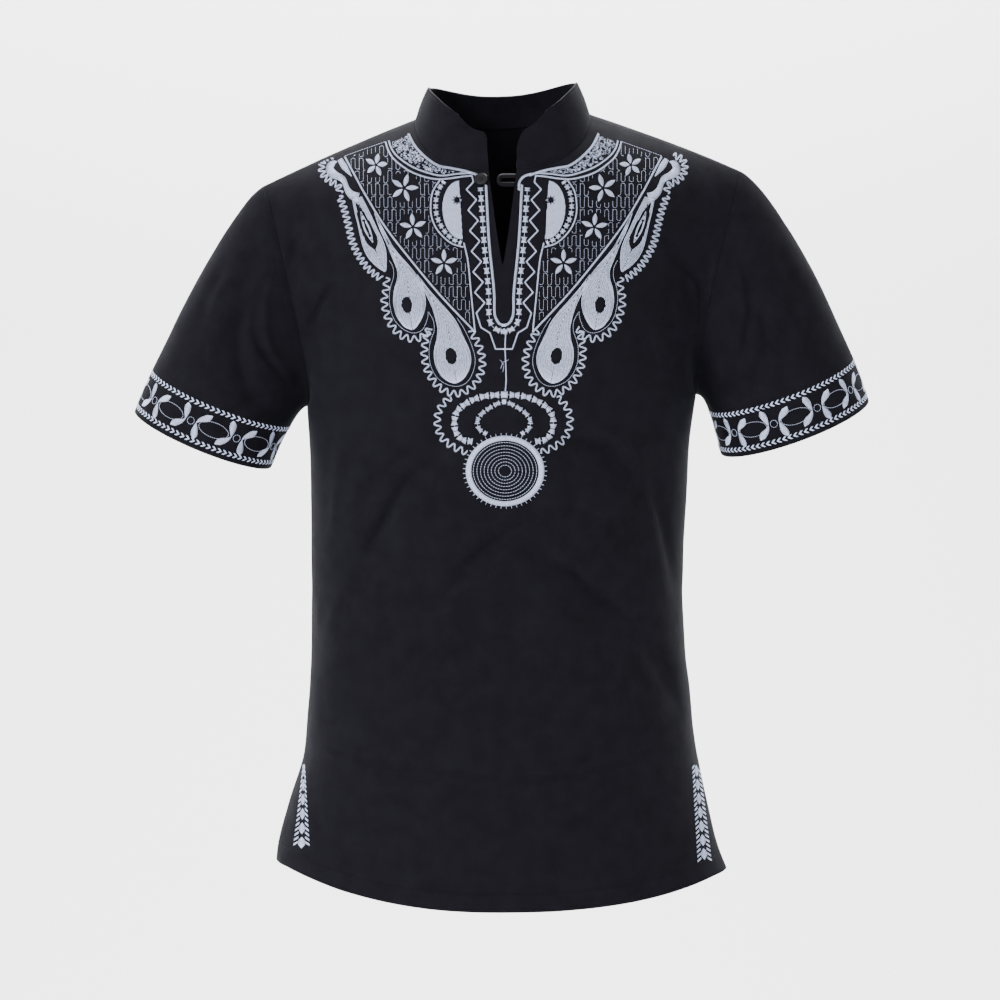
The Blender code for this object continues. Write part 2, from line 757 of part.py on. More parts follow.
def slit_edge(front, side, height):
    """The point of the slit's edge at a height, and the edge's normal there."""
    rows = front.index[side][LOWER_ROWS + SLIT_ROW :, 0]
    edge, normals = front.points[rows], front.normals[rows]
    order = np.argsort(edge[:, 2])
    found = [np.interp(height, edge[order, 2], edge[order, axis]) for axis in range(3)]
    normal = [
        np.interp(height, edge[order, 2], normals[order, axis]) for axis in range(3)
    ]
    return np.array(found), unit(np.array(normal))


def build_loop(front, material):
    """A bent cloth cord whose two ends stand on the slit's edge."""
    ends = []
    for direction in (1, -1):
        spot, normal = slit_edge(front, 1, LOOP_Z + direction * LOOP_HALF_HEIGHT)
        ends.append(spot - normal * WALL / 2 + [-FASTENER_GAP, 0.0, 0.0])
    upper, lower = ends
    middle = (upper + lower) / 2
    radius = LOOP_HALF_HEIGHT
    bend_x = middle[0] - LOOP_REACH + radius + LOOP_RADIUS
    slope = (upper - lower) / (2 * LOOP_HALF_HEIGHT)
    path = [upper]
    for step in range(LOOP_TURN_STEPS + 1):
        angle = math.pi / 2 - math.pi * step / LOOP_TURN_STEPS
        spot = middle + slope * radius * math.sin(angle)
        path.append(np.array([bend_x - radius * math.cos(angle), spot[1], spot[2]]))
    path.append(lower)
    curve = bpy.data.curves.new("button_loop", "CURVE")
    curve.dimensions = "3D"
    spline = curve.splines.new("POLY")
    spline.points.add(len(path) - 1)
    for number, spot in enumerate(path):
        spline.points[number].co = (*(np.array(spot) * MM), 1.0)
    curve.bevel_depth = LOOP_RADIUS * MM
    curve.bevel_resolution = 2
    curve.use_fill_caps = True
    curve.materials.append(material)
    loop = bpy.data.objects.new("button_loop", curve)
    bpy.context.scene.collection.objects.link(loop)
    return loop


def main():
    for old in list(bpy.data.objects):
        bpy.data.objects.remove(old, do_unlink=True)
    cloth = cloth_material("black_cotton", CLOTH_COLOUR, 0.85)
    shiny = cloth_material("black_button", BUTTON_COLOUR, 0.3)
    front = panel("front_panel", -1)
    back = panel("back_panel", 1)
    sleeves = [
        sleeve("sleeve_right", -1, armhole_loop(front, back, -1)),
        sleeve("sleeve_left", 1, armhole_loop(front, back, 1)),
    ]
    neck = collar(front, back)
    share_seam_normals([front, back], [*sleeves, neck])
    for sheet in (front, back, *sleeves, neck):
        build_wall(sheet, cloth)
    build_button(front, shiny)
    build_loop(front, cloth)


main()
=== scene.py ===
"""The looks of a black cotton dashiki shirt with pale embroidery, worn and hollow.

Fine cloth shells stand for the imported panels, sleeves and collar, and the embroidery is
laid on them stitch by stitch. The front faces -Y, +Z is up and +X is the wearer's left.
Sizes are in millimetres, and become metres where a mesh is made.
"""

import math

import bpy
import numpy as np
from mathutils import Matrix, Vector, noise
from mathutils.bvhtree import BVHTree


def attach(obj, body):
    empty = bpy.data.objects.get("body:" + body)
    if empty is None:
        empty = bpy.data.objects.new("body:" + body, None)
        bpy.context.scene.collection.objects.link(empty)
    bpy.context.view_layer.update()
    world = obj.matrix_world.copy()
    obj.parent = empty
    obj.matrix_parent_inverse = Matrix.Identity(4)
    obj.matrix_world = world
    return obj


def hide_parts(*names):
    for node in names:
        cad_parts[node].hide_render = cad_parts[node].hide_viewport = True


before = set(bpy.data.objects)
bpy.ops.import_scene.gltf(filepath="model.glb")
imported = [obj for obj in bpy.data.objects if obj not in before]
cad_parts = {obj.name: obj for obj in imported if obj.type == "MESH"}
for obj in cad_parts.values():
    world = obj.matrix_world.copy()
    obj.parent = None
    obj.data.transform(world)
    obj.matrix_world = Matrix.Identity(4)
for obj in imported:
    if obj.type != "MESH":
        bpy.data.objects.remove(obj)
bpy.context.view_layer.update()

MM = 0.001

# Camera: it looks a little down on the front of the shirt
CAMERA_DISTANCE = 2500.0
CAMERA_ELEVATION = math.radians(5.0)
CAMERA_TARGET = (-2.4, 0.0, -364.0)
SENSOR_MM = 36.0
LENS_MM = 93.75

# Cloth
WALL = 1.5
HEM_WALL = 2.4
COLLAR_WALL = 2.4
SEAM_PULL = 0.16

# Torso below the underarm: one row for each level section
BODY_COLUMNS = ("height", "right_half", "left_half", "front", "back")
BODY_SECTIONS = (
    (-740.0, 219.0, 226.0, 131.0, 120.0),
    (-700.0, 217.5, 209.0, 129.0, 118.0),
    (-656.0, 206.5, 198.0, 126.0, 114.0),
    (-612.0, 192.5, 188.5, 123.0, 108.0),
    (-558.0, 186.0, 181.0, 121.0, 102.0),
    (-461.0, 183.5, 173.0, 119.0, 98.0),
    (-364.0, 183.0, 176.5, 120.0, 103.0),
    (-306.0, 183.5, 179.5, 117.0, 107.0),
    (-268.0, 186.0, 185.0, 116.0, 108.0),
)
BODY_SQUARENESS = 2.4
HEM_SQUARENESS = 2.05
HEM_SQUARE_SPAN = 220.0
UNDERARM_Z = -268.0

# Hem, and the side vents that open up from it
FRONT_HEM_Z = -735.0
BACK_HEM_Z = -737.0
HEM_CORNER_Z = {-1: -710.0, 1: -718.0}
HEM_CURVE_END = 0.8
HEM_CURVE_POWER = 1.3
VENT_ROW_SHARE = 0.25
VENT_FRONT_FORWARD = 12.0
VENT_BACK_BEHIND = 16.0
VENT_BACK_INWARD = 9.0
VENT_OPEN_POWER = 1.2
VENT_CORNER_POWER = 4
HEM_ROWS = 5

# Shoulders and armholes
SHOULDER_HALF = 223.0
NECK_HALF = 83.0
SHOULDER_SEAM_Y = -14.0
NECK_SEAM_Z = -4.5
SHOULDER_SLOPE = 0.345
SHOULDER_DROOP = 0.00034
CENTRE_RISE = 133.0
ARMHOLE_RISE = 8.0
ARMHOLE_SCOOP = 0.31
SEAM_HANDLE_CENTRE = (0.0, -105.0, -40.0)
SEAM_HANDLE_ARMHOLE = (-10.0, -52.0, -36.0)
BACK_HANDLE_SHARE = (1.05, 0.8)
SHOULDER_TILT = 0.03
TILT_TOP_Z = -300.0
TILT_END_Z = -480.0

# Neckline and slit, as shares of a column's way up to the shoulder line
FRONT_NECK_SHARE = 0.66
BACK_NECK_SHARE = 0.70
SLIT_SHARE = 8 / 15
SLIT_HALF_GAP = 12.0
SLIT_CURVE_POWER = 0.85

# Collar
# Columns: share round the half, height
COLLAR_HEIGHTS = (
    (0.0, 38.5),
    (0.12, 41.0),
    (0.27, 45.0),
    (0.4, 41.0),
    (0.5, 36.0),
    (0.62, 30.0),
    (1.0, 32.0),
)
COLLAR_LEAN = math.radians(22)
COLLAR_AXIS_Y = -8.0
COLLAR_BOW = 1.2
COLLAR_CORNER = {-1: 5.5, 1: 19.0}
COLLAR_ROWS = 14

# Sleeves, by side: -1 is the wearer's right and 1 the left
CUFF_CENTRE = {-1: (-286.5, 0.0, -304.5), 1: (279.6, 0.0, -293.0)}
CUFF_HALF_WIDTH = {-1: 70.5, 1: 75.0}
CUFF_HALF_DEPTH = {-1: 63.0, 1: 65.0}
CUFF_RISE = {-1: 0.42, 1: 0.371}
CUFF_PITCH = {-1: 0.11, 1: 0.15}
# Columns: outward, forward, up
SLEEVE_LEAVE_UNDERARM = (0.9, 0.3, -0.02)
SLEEVE_LEAVE_SHOULDER = (0.93, 0.3, -0.37)
SLEEVE_START_LENGTHS = {-1: (12.0, 14.0, 9.0), 1: (12.0, 18.0, 9.0)}
SLEEVE_END_LENGTHS = (15.0, 90.0)

# Soft folds of the cloth: start, bend and end are (x, z) seen from the front
# Columns: start, bend, end, depth, width
FRONT_FOLDS = (
    ((-190, -100), (-213, -150), (-196, -250), 4.5, 11),
    ((-132, -150), (-172, -152), (-182, -226), 5.0, 12),
    ((204, -108), (192, -150), (192, -246), 4.5, 11),
    ((150, -122), (182, -142), (184, -196), 4.0, 13),
    ((-52, -306), (-110, -350), (-142, -452), 6.5, 17),
    ((58, -362), (0, -386), (-62, -458), 5.0, 16),
    ((46, -312), (100, -286), (130, -348), 5.0, 15),
    ((4, -394), (70, -424), (132, -482), 4.5, 14),
    ((134, -300), (152, -372), (164, -440), 4.5, 13),
    ((124, -478), (156, -515), (170, -575), 4.0, 13),
    ((-176, -560), (-150, -500), (-128, -440), -3.0, 16),
)
BACK_FOLDS = (
    ((-186, -110), (-204, -160), (-186, -246), 4.5, 12),
    ((186, -110), (204, -160), (186, -246), 4.5, 12),
    ((-150, -250), (-96, -320), (-40, -350), 5.0, 16),
    ((148, -262), (90, -340), (24, -372), 5.0, 16),
    ((-140, -420), (-80, -470), (-10, -478), 4.5, 18),
    ((136, -440), (96, -505), (40, -530), 4.5, 16),
    ((-60, -700), (-70, -600), (-44, -520), -4.0, 24),
    ((70, -704), (84, -620), (96, -560), -4.0, 22),
)
SLEEVE_FOLDS = {
    -1: (
        ((-240, -178), (-252, -246), (-222, -278), 5.0, 11),
        ((-226, -112), (-246, -190), (-262, -236), 3.5, 10),
    ),
    1: (
        ((236, -150), (250, -216), (226, -262), 4.5, 11),
        ((262, -140), (270, -200), (262, -256), 3.5, 12),
    ),
}
SLEEVE_BACK_FOLD_DROP = 8
FOLD_SAMPLES = 14
FOLD_EDGE_FADE = 0.07
FOLD_TOP_ROWS = 15
SLEEVE_FADE_ROWS = 14
CUFF_FADE = 0.25
FOLD_TURN_FADE = 0.25
FOLD_TIP = 0.04
FOLD_TAPER_POWER = 0.7

# Creases pressed into the fine shells. A path is (x, z) points seen from the front, depth
# is the trough's, and lip is the share of it that stands up along the path's left side.
FRONT_CREASES = (
    (((-186, -104), (-200, -143), (-198, -175), (-191, -207), (-190, -235)), 2.6, 4.5, 0.5),
    (((-143, -152), (-163, -166), (-177, -194), (-181, -212)), 2.4, 4.5, 0.5),
    (((206, -111), (197, -152), (190, -198), (190, -235)), 2.4, 4.5, -0.5),
    (((158, -127), (181, -152), (192, -175)), 1.8, 4.5, -0.4),
    (((-56, -308), (-94, -350), (-122, -400), (-136, -432)), 3.0, 6.0, 0.6),
    (((-70, -300), (-112, -338), (-142, -386)), 1.2, 7.0, 0.3),
    (((48, -364), (7, -382), (-30, -414), (-53, -442)), 2.8, 6.0, 0.6),
    (((48, -308), (76, -301), (103, -313), (122, -336), (134, -366)), 2.6, 6.0, 0.5),
    (((7, -391), (53, -414), (89, -442), (122, -465)), 2.6, 5.0, 0.5),
    (((62, -362), (92, -372), (118, -398), (132, -430)), 1.4, 7.0, 0.3),
    (((126, -290), (144, -359), (158, -419), (166, -462)), 1.8, 6.0, -0.4),
    (((117, -465), (144, -506), (167, -556)), 1.6, 6.0, 0.4),
    (((-145, -290), (-154, -350), (-160, -398)), -1.2, 6.0, 0.0),
    (((-131, -428), (-154, -455), (-168, -492)), -1.4, 7.0, 0.0),
    (((-98, -505), (-60, -512), (-28, -500)), 0.7, 6.0, 0.3),
    (((-30, -470), (4, -478), (40, -470)), 0.6, 7.0, 0.3),
    (((86, -476), (92, -508), (80, -536)), 1.0, 9.0, 0.2),
)
PRESSED_CREASES = (
    (
        (
            (-196, -588), (-177, -590), (-145, -600), (-94, -604), (-30, -613), (16, -616),
            (71, -611), (117, -600), (154, -590), (190, -594),
        ),
        -1.1,
        2.6,
        0.9,
    ),
    (((117, -428), (121, -500), (119, -600), (121, -722)), -0.5, 2.4, 0.8),
)
BACK_CREASES = (
    (((-190, -112), (-204, -152), (-196, -196), (-190, -238)), 2.6, 4.5, 0.5),
    (((192, -116), (204, -156), (196, -200), (190, -240)), 2.4, 4.5, -0.5),
    (((-138, -150), (-164, -172), (-180, -214)), 2.0, 5.0, 0.5),
    (((140, -158), (166, -178), (180, -222)), 2.0, 5.0, -0.5),
    (((-150, -250), (-108, -306), (-66, -336), (-34, -348)), 2.8, 6.0, 0.5),
    (((150, -268), (110, -326), (66, -358), (26, -372)), 2.6, 6.0, -0.5),
    (((-142, -402), (-104, -446), (-54, -474), (-12, -480)), 2.2, 6.5, 0.5),
    (((138, -424), (104, -478), (66, -514), (36, -530)), 2.2, 6.5, -0.5),
    (((-150, -330), (-120, -372), (-92, -390)), 1.4, 7.0, 0.4),
    (((-44, -130), (-6, -138), (40, -128)), 0.9, 9.0, 0.3),
    (((60, -592), (96, -560), (128, -512)), 1.4, 8.0, 0.3),
    (((-118, -640), (-92, -584), (-84, -536)), 1.2, 9.0, 0.3),
)
SLEEVE_CREASES = {
    -1: (
        (((-221, -150), (-232, -184), (-226, -214), (-206, -244)), 2.6, 4.5, 0.5),
        (((-236, -170), (-246, -208), (-240, -244)), 1.8, 5.0, 0.4),
        (((-250, -120), (-276, -170), (-290, -214)), 1.2, 7.0, 0.3),
        (((-222, -262), (-252, -276), (-270, -300)), 1.4, 5.0, 0.3),
    ),
    1: (
        (((224, -140), (232, -182), (222, -232)), 2.4, 4.5, -0.5),
        (((240, -168), (246, -212), (236, -252)), 1.8, 5.0, -0.4),
        (((262, -132), (280, -176), (290, -220)), 1.4, 7.0, -0.3),
        (((214, -256), (236, -268), (262, -288)), 1.4, 5.0, 0.3),
    ),
}
CREASE_TIP = 0.05
CREASE_TAPER_POWER = 0.8
LIP_AWAY = 1.7
LIP_WIDTH = 1.3
CREASE_WANDER = 0.25
CREASE_WANDER_TURN = 7
PATH_STEP = 6.0

# Soft unevenness of worn cotton: (size of a swell, its height)
SWELLS = ((95.0, 1.5), (42.0, 0.6), (17.0, 0.2))
PANEL_SWELL_PHASE = 3.7
SLEEVE_SWELL_PHASE = 5.3

# Mesh divisions
NECK_COLUMNS = 36
SHOULDER_COLUMNS = 40
HALF_COLUMNS = NECK_COLUMNS + SHOULDER_COLUMNS
LOWER_ROWS = 112
UPPER_ROWS = 75
SLEEVE_ROWS = 66
VENT_ROW = round(LOWER_ROWS * VENT_ROW_SHARE)
SLIT_ROW = round(UPPER_ROWS * SLIT_SHARE)
SHARP_ANGLE = math.radians(50)
CREASE_SCALE = 1.5

# Embroidery. Its pattern is drawn on an upright plane in front of the chest and laid on the
# cloth along the lines of sight from the camera. The right half is given, in (x, z), and the
# left half mirrors it.
PATTERN_PLANE_Y = -110.0
PATTERN_MIDDLE = 1.3
PATTERN_LEFT_SCALE = 0.99
SLIT_CORD = 2.1
NECK_CORD = 2.0
BORDER_CORD = 1.35
YOKE_CORD = 1.5
SUN_CORD = 1.2
ZIGZAG_CORD = 1.15
STEM_CORD = 0.9
SATIN_SLANT = 0.35
# Running stitches: length and gap, and for some the thread's width and height
SHOULDER_RUN = (1.6, 0.7)
DROP_RUN = (1.7, 0.35)
KNOT_RUN = (6.0, 0.5)
TARGET_RUN = (1.5, 0.9, 0.6, 0.3)
CUFF_RUN = (1.5, 0.5, 0.5, 0.3)
RUN_STEP = 0.5
LAST_STITCH_SHARE = 0.6
CURVE_STEP = 0.8
THREAD_PITCH = 0.6
THREAD_WIDTH = 0.66
THREAD_HEIGHT = 0.34
FINE_WIDTH = 0.42
FINE_HEIGHT = 0.26
THREAD_SINK = 0.2
THREAD_LIFT = 0.06
THREAD_END_SWELL = 0.75
THREAD_TIP = 0.25
SECTION_LENGTH = 2.4
MOST_SECTIONS = 9
TATAMI_STITCH = 4.4
TATAMI_SHIFT = 1.6
TATAMI_MARGIN = 1.0
SHORTEST_STITCH = 0.25
BAND_REACH = 60.0
# Slit border, from the neck down to the middle
SLIT_LINE = (
    (-15.1, -67.3), (-12.4, -117), (-7.9, -162.3), (-7.4, -182.3), (-5.6, -189.1),
    (-2.4, -193.2), (3.1, -194.7),
)
# Its top on the left side turns outward into the neckline
SLIT_LINE_TURN = (
    (25.7, -57.3), (19.4, -59.6), (15.3, -64.6), (14.9, -71.8),
)
LADDER = (
    (-20.1, -70), (-17, -117), (-12.9, -162.3), (-12.4, -185), (-9.7, -194.7), (-3.3, -199.2),
    (4, -200),
)
# Zigzag beside the ladder: its run, then the stepped foot that joins both sides
ZIGZAG_RUN = (
    (-28.7, -71.3), (-19.7, -183.2),
)
ZIGZAG_HEAD = (
    (-27.8, -59.2), (-26.5, -64.6), (-32.4, -71.3),
)
ZIGZAG_FOOT = (
    (-17, -185.9), (-19.7, -196.4), (-11.5, -201.4), (-6.4, -216), (2.6, -216),
)
STEM = (
    (2.7, -201.4), (2.2, -216), (2.9, -230.6), (3.3, -244.3), (2.5, -254.3),
)
STEM_KNOT_A = (
    (-1.9, -234.2), (0.3, -227.9), (7.2, -225.1),
)
STEM_KNOT_B = (
    (0.3, -237), (1.3, -229.7), (-2.4, -226),
)
# Neckline border
NECK_LINE = (
    (-85.3, -21.3), (-79.5, -32.1), (-69.5, -42.5), (-58.7, -49.7), (-47.8, -51.9),
    (-34.2, -54.6), (-22.4, -58.3),
)
NECK_INNER = (
    (-103, -27.6), (-101.2, -33.5), (-96.7, -40.2), (-87.7, -47.4), (-77.7, -52.8),
    (-62.3, -57.8), (-53.2, -58.7), (-42.3, -57.3), (-28.7, -56.4),
)
NECK_OUTER = (
    (-106.1, -28.5), (-104, -35.3), (-99.5, -42.9), (-91.3, -50.1), (-81.8, -56),
    (-71.4, -59.7), (-60.5, -61.9), (-49.6, -61.5), (-36.9, -59.7), (-27.8, -58.8),
)
# Straight edges of the yoke
YOKE_EDGE = (
    (-143, -42), (-135.8, -55.5), (-125, -75.4), (-107, -104.7), (-84.3, -134.2),
    (-57.1, -166.8), (-25.2, -200.5),
)
YOKE_INNER = (
    (-35.2, -119.7), (-31.5, -136.9), (-28.8, -164.1), (-25.2, -200.5),
)
YOKE_SHOULDER = (
    (-143, -41.1), (-129.4, -36.2), (-105.8, -28.1),
)
SUN_LADDER = (
    (-53.2, -64.1), (-58.3, -71.8), (-60.5, -80.8), (-60.6, -90.7), (-57.9, -100.2),
    (-52.9, -108.8), (-46.1, -115.6), (-37.9, -119.7),
)
SUN_LINE = (
    (-56.9, -62.8), (-62.8, -71.8), (-65.1, -81.7), (-65.1, -93.4), (-61.5, -104.3),
    (-54.7, -113.3), (-46.1, -120.1), (-36.1, -123.3),
)
SUN_STAR = (-41.5, -80.8)
# Star centres
STARS = (
    (-114.9, -49.2), (-89.6, -70), (-81.5, -105.2), (-53.4, -137.8),
)
DROP_A_LINE = (
    (-103, -135.5), (-99.8, -141.9), (-99.4, -150.5), (-102.2, -159.6), (-103.3, -168.7),
    (-102.2, -179.6), (-98.6, -189.6), (-90.9, -197.8), (-81.3, -201.4), (-73.1, -198.2),
    (-68.7, -188.7), (-67.8, -181.4),
)
DROP_B_LINE = (
    (-67.1, -182.8), (-63.1, -190.5), (-62.6, -199.6), (-65.8, -208.7), (-67.2, -218.7),
    (-65.6, -231.5), (-59.5, -242.5), (-49.9, -248.7), (-39.4, -249.8), (-31.2, -244.7),
    (-26.2, -234.2), (-25.2, -224.2), (-28.4, -212.3), (-34.8, -198.2), (-41.6, -187.8),
)
# Middle lines of the scalloped zigzag edging
SCALLOPS_TOP = (
    (-153.9, -40.7), (-161.2, -43.8), (-164.4, -50.1), (-162.6, -58.3), (-156.3, -64.1),
    (-149.5, -67.7), (-147.7, -74.5),
)
SCALLOPS_LEAF = (
    (-148.2, -77.2), (-143.7, -89.8), (-140.1, -104.3), (-136.6, -118.8), (-130.7, -131.5),
    (-122.1, -143.2), (-110.8, -152.3),
)
SCALLOPS_A = (
    (-105.8, -151), (-105.8, -160.5), (-107.9, -170.5), (-106.3, -182.3), (-101.8, -193.7),
    (-93.2, -203.2), (-81.8, -206.9), (-71.8, -203.7), (-66.3, -196.9),
)
SCALLOPS_B = (
    (-68.1, -199.6), (-70.6, -209.6), (-71.5, -220.6), (-69.5, -233.3), (-63.2, -245.2),
    (-52.7, -254.3), (-39.9, -256.6), (-27.1, -249.8), (-20.2, -238.8), (-18.4, -226),
    (-22, -212.3), (-29.3, -199.1),
)
# Medallion
RING_SCALLOPS = (
    (-47.7, -259.8), (-55, -267.1), (-59.1, -275.4), (-59.5, -286.4), (-55.5, -296.9),
    (-46.4, -304.7), (-32.9, -310.7),
)
RING_OUTER = (
    (-28, -300.6), (-37.2, -298.8), (-42.7, -291.9), (-44.2, -281.8), (-41.3, -272.6),
    (-33.5, -265.8), (-24.3, -261.2), (-15.2, -258.9), (-6.1, -258), (2.4, -257.7),
)
RING_INNER = (
    (-14.8, -293.7), (-21.6, -289.1), (-23, -281.3), (-18.4, -274.5), (-10.6, -269),
    (-3.3, -265.3), (2.4, -263.9),
)
TARGET_CENTRE = (2.2, -327.7)
# Yoke ground that the wandering stitch fills
YOKE_AREA = (
    (-141.2, -43.8), (-129.4, -38), (-105.8, -30.8), (-103.1, -38.4), (-94, -49.2),
    (-81.4, -57.8), (-65, -62.3), (-59.6, -63.7), (-65.1, -72.7), (-67.4, -82.6),
    (-67.4, -94.4), (-63.8, -105.2), (-56.5, -115.2), (-47.4, -121.9), (-37, -125.6),
    (-33.8, -137.8), (-31.1, -164.1), (-27.5, -194.1), (-56.2, -164.1), (-83.4, -131.9),
    (-105.1, -103.4), (-123.2, -74.5), (-134, -55.5),
)
# Neckline ground with the fine looping stitch
NECK_AREA = (
    (-100.8, -28.1), (-85.8, -23.6), (-80.8, -33.5), (-70.9, -44.3), (-59.6, -51.9),
    (-47.8, -54.2), (-33.3, -56.4), (-42.3, -55.7), (-53.2, -56.9), (-62.3, -56), (-76.8, -51),
    (-85.9, -45.6), (-94.9, -38.9), (-99.4, -32.6),
)
# Paisley chain down the yoke edge. Each shape is a spine: x, z and half width
HOOK = (
    (-150.3, -46.1, 0.3), (-154.4, -47.9, 2.6), (-156.9, -51.9, 3.3), (-155.1, -56.4, 3.9),
    (-150.4, -59.2, 3.1), (-145.4, -61.7, 2.8), (-142.6, -66.8, 2.2), (-140.6, -72.2, 2.8),
    (-136.4, -76.7, 3.7), (-131.4, -78.5, 4.2),
)
HOOK_SHADE = (
    (-147.6, -44.3, 2.2), (-144.0, -50.1, 2.8), (-140.8, -54.6, 1.8), (-137.2, -59.2, 0.4),
)
LEAF = (
    (-132.3, -79.0, 4.8), (-128.7, -89.8, 6.2), (-125.1, -99.8, 7.3), (-121.5, -110.6, 8.7),
    (-117.9, -120.6, 9.6), (-114.3, -129.6, 8.8), (-110.7, -137.8, 5.9), (-108.0, -143.2, 2.6),
    (-107.1, -146.0, 0.3),
)
LEAF_HOLE = (
    (-133.2, -83.5, 0.3), (-129.6, -91.6, 2.8), (-125.6, -101.6, 4.6), (-121.5, -111.5, 5.5),
    (-117.9, -119.7, 4.6), (-116.1, -125.6, 0.3),
)
LEAF_HEART = (
    (-129.1, -90.7, 0.3), (-126.5, -98.9, 2.0), (-123.3, -107.0, 2.8), (-120.2, -114.2, 1.8),
    (-117.9, -119.7, 0.3),
)
DROP_A = (
    (-116.9, -91.6, 0.3), (-110.6, -106.1, 1.5), (-105.2, -117.0, 1.9), (-101.1, -125.1, 2.6),
    (-95.2, -135.1, 4.2), (-90.3, -143.2, 6.2), (-87.1, -152.3, 9.9), (-85.8, -162.3, 13.4),
    (-84.9, -173.2, 14.9), (-84.5, -183.2, 13.2), (-83.6, -191.4, 9.0), (-82.7, -195.9, 5.0),
    (-82.2, -198.7, 0.3),
)
DROP_B = (
    (-78.0, -147.8, 0.3), (-73.5, -155.9, 1.5), (-68.9, -163.2, 2.3), (-63.5, -171.4, 3.7),
    (-58.9, -178.7, 5.3), (-54.4, -186.8, 7.3), (-50.3, -195.9, 9.6), (-48.2, -206.0, 12.5),
    (-46.9, -216.9, 16.0), (-45.3, -226.9, 16.7), (-44.0, -236.1, 14.1), (-42.8, -242.5, 9.2),
    (-42.1, -245.7, 4.6), (-41.7, -247.0, 0.3),
)
# Ovals: centre x and z, half width, half height and tilt in degrees
DROP_A_HOLE = (-87.2, -175.9, 4.8, 7.3, 8)
DROP_B_HOLE = (-47.1, -222.4, 5.1, 7.5, 10)
SUN_FILL = (-38.1, -89.8, 16.5, 26.4, 3.5)
STAR_RADII = (10.2, 12.8, 12.2, 12.2)
STAR_TURNS = (78, 74, 95, 90)
STAR_PETALS = 5
STAR_PETAL_HALF = 2.1
# Columns: share of the radius, share of the half width
STAR_PETAL = ((0.16, 0.15), (0.36, 0.75), (0.58, 1.0), (0.8, 0.72), (1.0, 0.08))
SUN_STAR_POINTS = 8
SUN_STAR_RADII = (2.4, 5.0)
LADDER_PITCH = 9.5
LADDER_BLOCK = 5.6
LADDER_WIDTH = 5.2
LADDER_WAIST = 0.62
SUN_BLOCKS = (6.2, 3.4, 4.6)
RING_OUTER_BLOCKS = (10.1, 7.4, 6.2)
RING_INNER_BLOCKS = (7.8, 4.8, 4.6)
FILL_PITCH = 0.9
FILL_WIDTH = 0.84
FILL_LOOSE = 0.5
FILL_ROW_TURN = 1.7
FILL_STITCH_TURN = 0.05
FILL_STEPS = 9
LEAF_CORE_SHARE = 0.42
ZIGZAG_HALF_PERIOD = 9.1
ZIGZAG_SWING = 4.2
SCALLOP_HALF_PERIOD = 3.8
LEAF_SCALLOP_HALF_PERIOD = 2.5
SCALLOP_SWING = 2.9
SCALLOP_WIDTH = 1.35
SCALLOP_ROUNDNESS = 0.8
SUN_FILL_ANGLE = 88.0
TARGET_RING = (36.0, 31.0)
TARGET_FLATTEN = 0.9
TARGET_FIRST = 6.0
TARGET_STEP = 3.3
TARGET_RINGS = 8
SPIKE_PITCH = 4.6
SPIKE_LENGTH = 2.6
SPIKE_THREAD = (0.6, 0.3)
WANDER_ROW = 11.6
WANDER_STROKE = 3.7
WANDER_SWING = 10.9
WANDER_TOP = 0.3
WANDER_JOG = 1.6
WANDER_CORNER = 0.9
WANDER_JOIN = 4
# Length, gap and width of its stitches
WANDER_RUN = (2.1, 0.3, 0.34)
LOOP_COUNT = 330
LOOP_BOW = 0.7
LOOP_WIDTH = 0.36

# Cuff bands: lengths run round the cuff and up from its edge
CUFF_REPEAT = 45.5
CUFF_PHASE = {-1: 25.5, 1: 0.5}
CUFF_WHEAT_LEVELS = (7.0, 41.5)
CUFF_MIDDLE_LEVEL = 23.5
WHEAT_PITCH = 5.4
WHEAT_REACH = 2.9
WHEAT_RISE = 2.2
WHEAT_THREAD = (0.7, 0.36)
CUFF_OVAL = (14.6, 7.0)
CUFF_RING = 3.4
# Leaves beside a small ring, as (along, up, half width) rows; way -1 turns them round it
CUFF_NEAR_LEAF = (
    (5.6, -0.4, 0.5),
    (6.4, -4.0, 2.0),
    (7.2, -8.0, 3.0),
    (8.4, -11.6, 2.9),
    (9.2, -14.4, 0.6),
)
CUFF_FAR_LEAF = (
    (5.8, 0.4, 0.5),
    (7.6, 3.6, 1.6),
    (11.0, 6.2, 2.8),
    (14.6, 8.8, 3.0),
    (17.2, 11.6, 0.6),
)

# Vent strips: top, bottom, and width at each, on the pattern plane
VENT_STRIPS = {
    -1: ((-183.9, -600.7), (-186.5, -673.0), 2.0, 15.0),
    1: ((179.0, -601.0), (187.4, -688.0), 7.5, 13.0),
}
VENT_GRAIN_PITCH = 4.4
GRAIN_THREAD_GAP = 0.7
GRAIN_START = 0.45
GRAIN_DROP = 0.62
GRAIN_THREAD = (0.72, 0.36)
# Heart of the strip: steps down it, and half width as a share of the strip's
VENT_HEART = ((-1.0, 0.042), (-0.3, 0.378), (0.5, 0.42), (1.3, 0.042))
HEART_TIP = 0.3

# Plain sewing in black thread, as lengths from an edge
HEM_STITCH_RISE = 17.0
EDGE_STITCH = 3.2
SEW_STITCH = 2.4
SEW_GAP = 0.9
SEW_WIDTH = 0.45
SEW_HEIGHT = 0.22
HEM_BAND_ROWS = 30

# Flat cut of each piece in metres: width, length and area
CUT_SIZES = {
    "front_panel": (0.59, 0.80, 0.36),
    "back_panel": (0.59, 0.80, 0.36),
    "sleeve_right": (0.46, 0.27, 0.08),
    "sleeve_left": (0.46, 0.27, 0.08),
    "collar": (0.44, 0.05, 0.018),
}

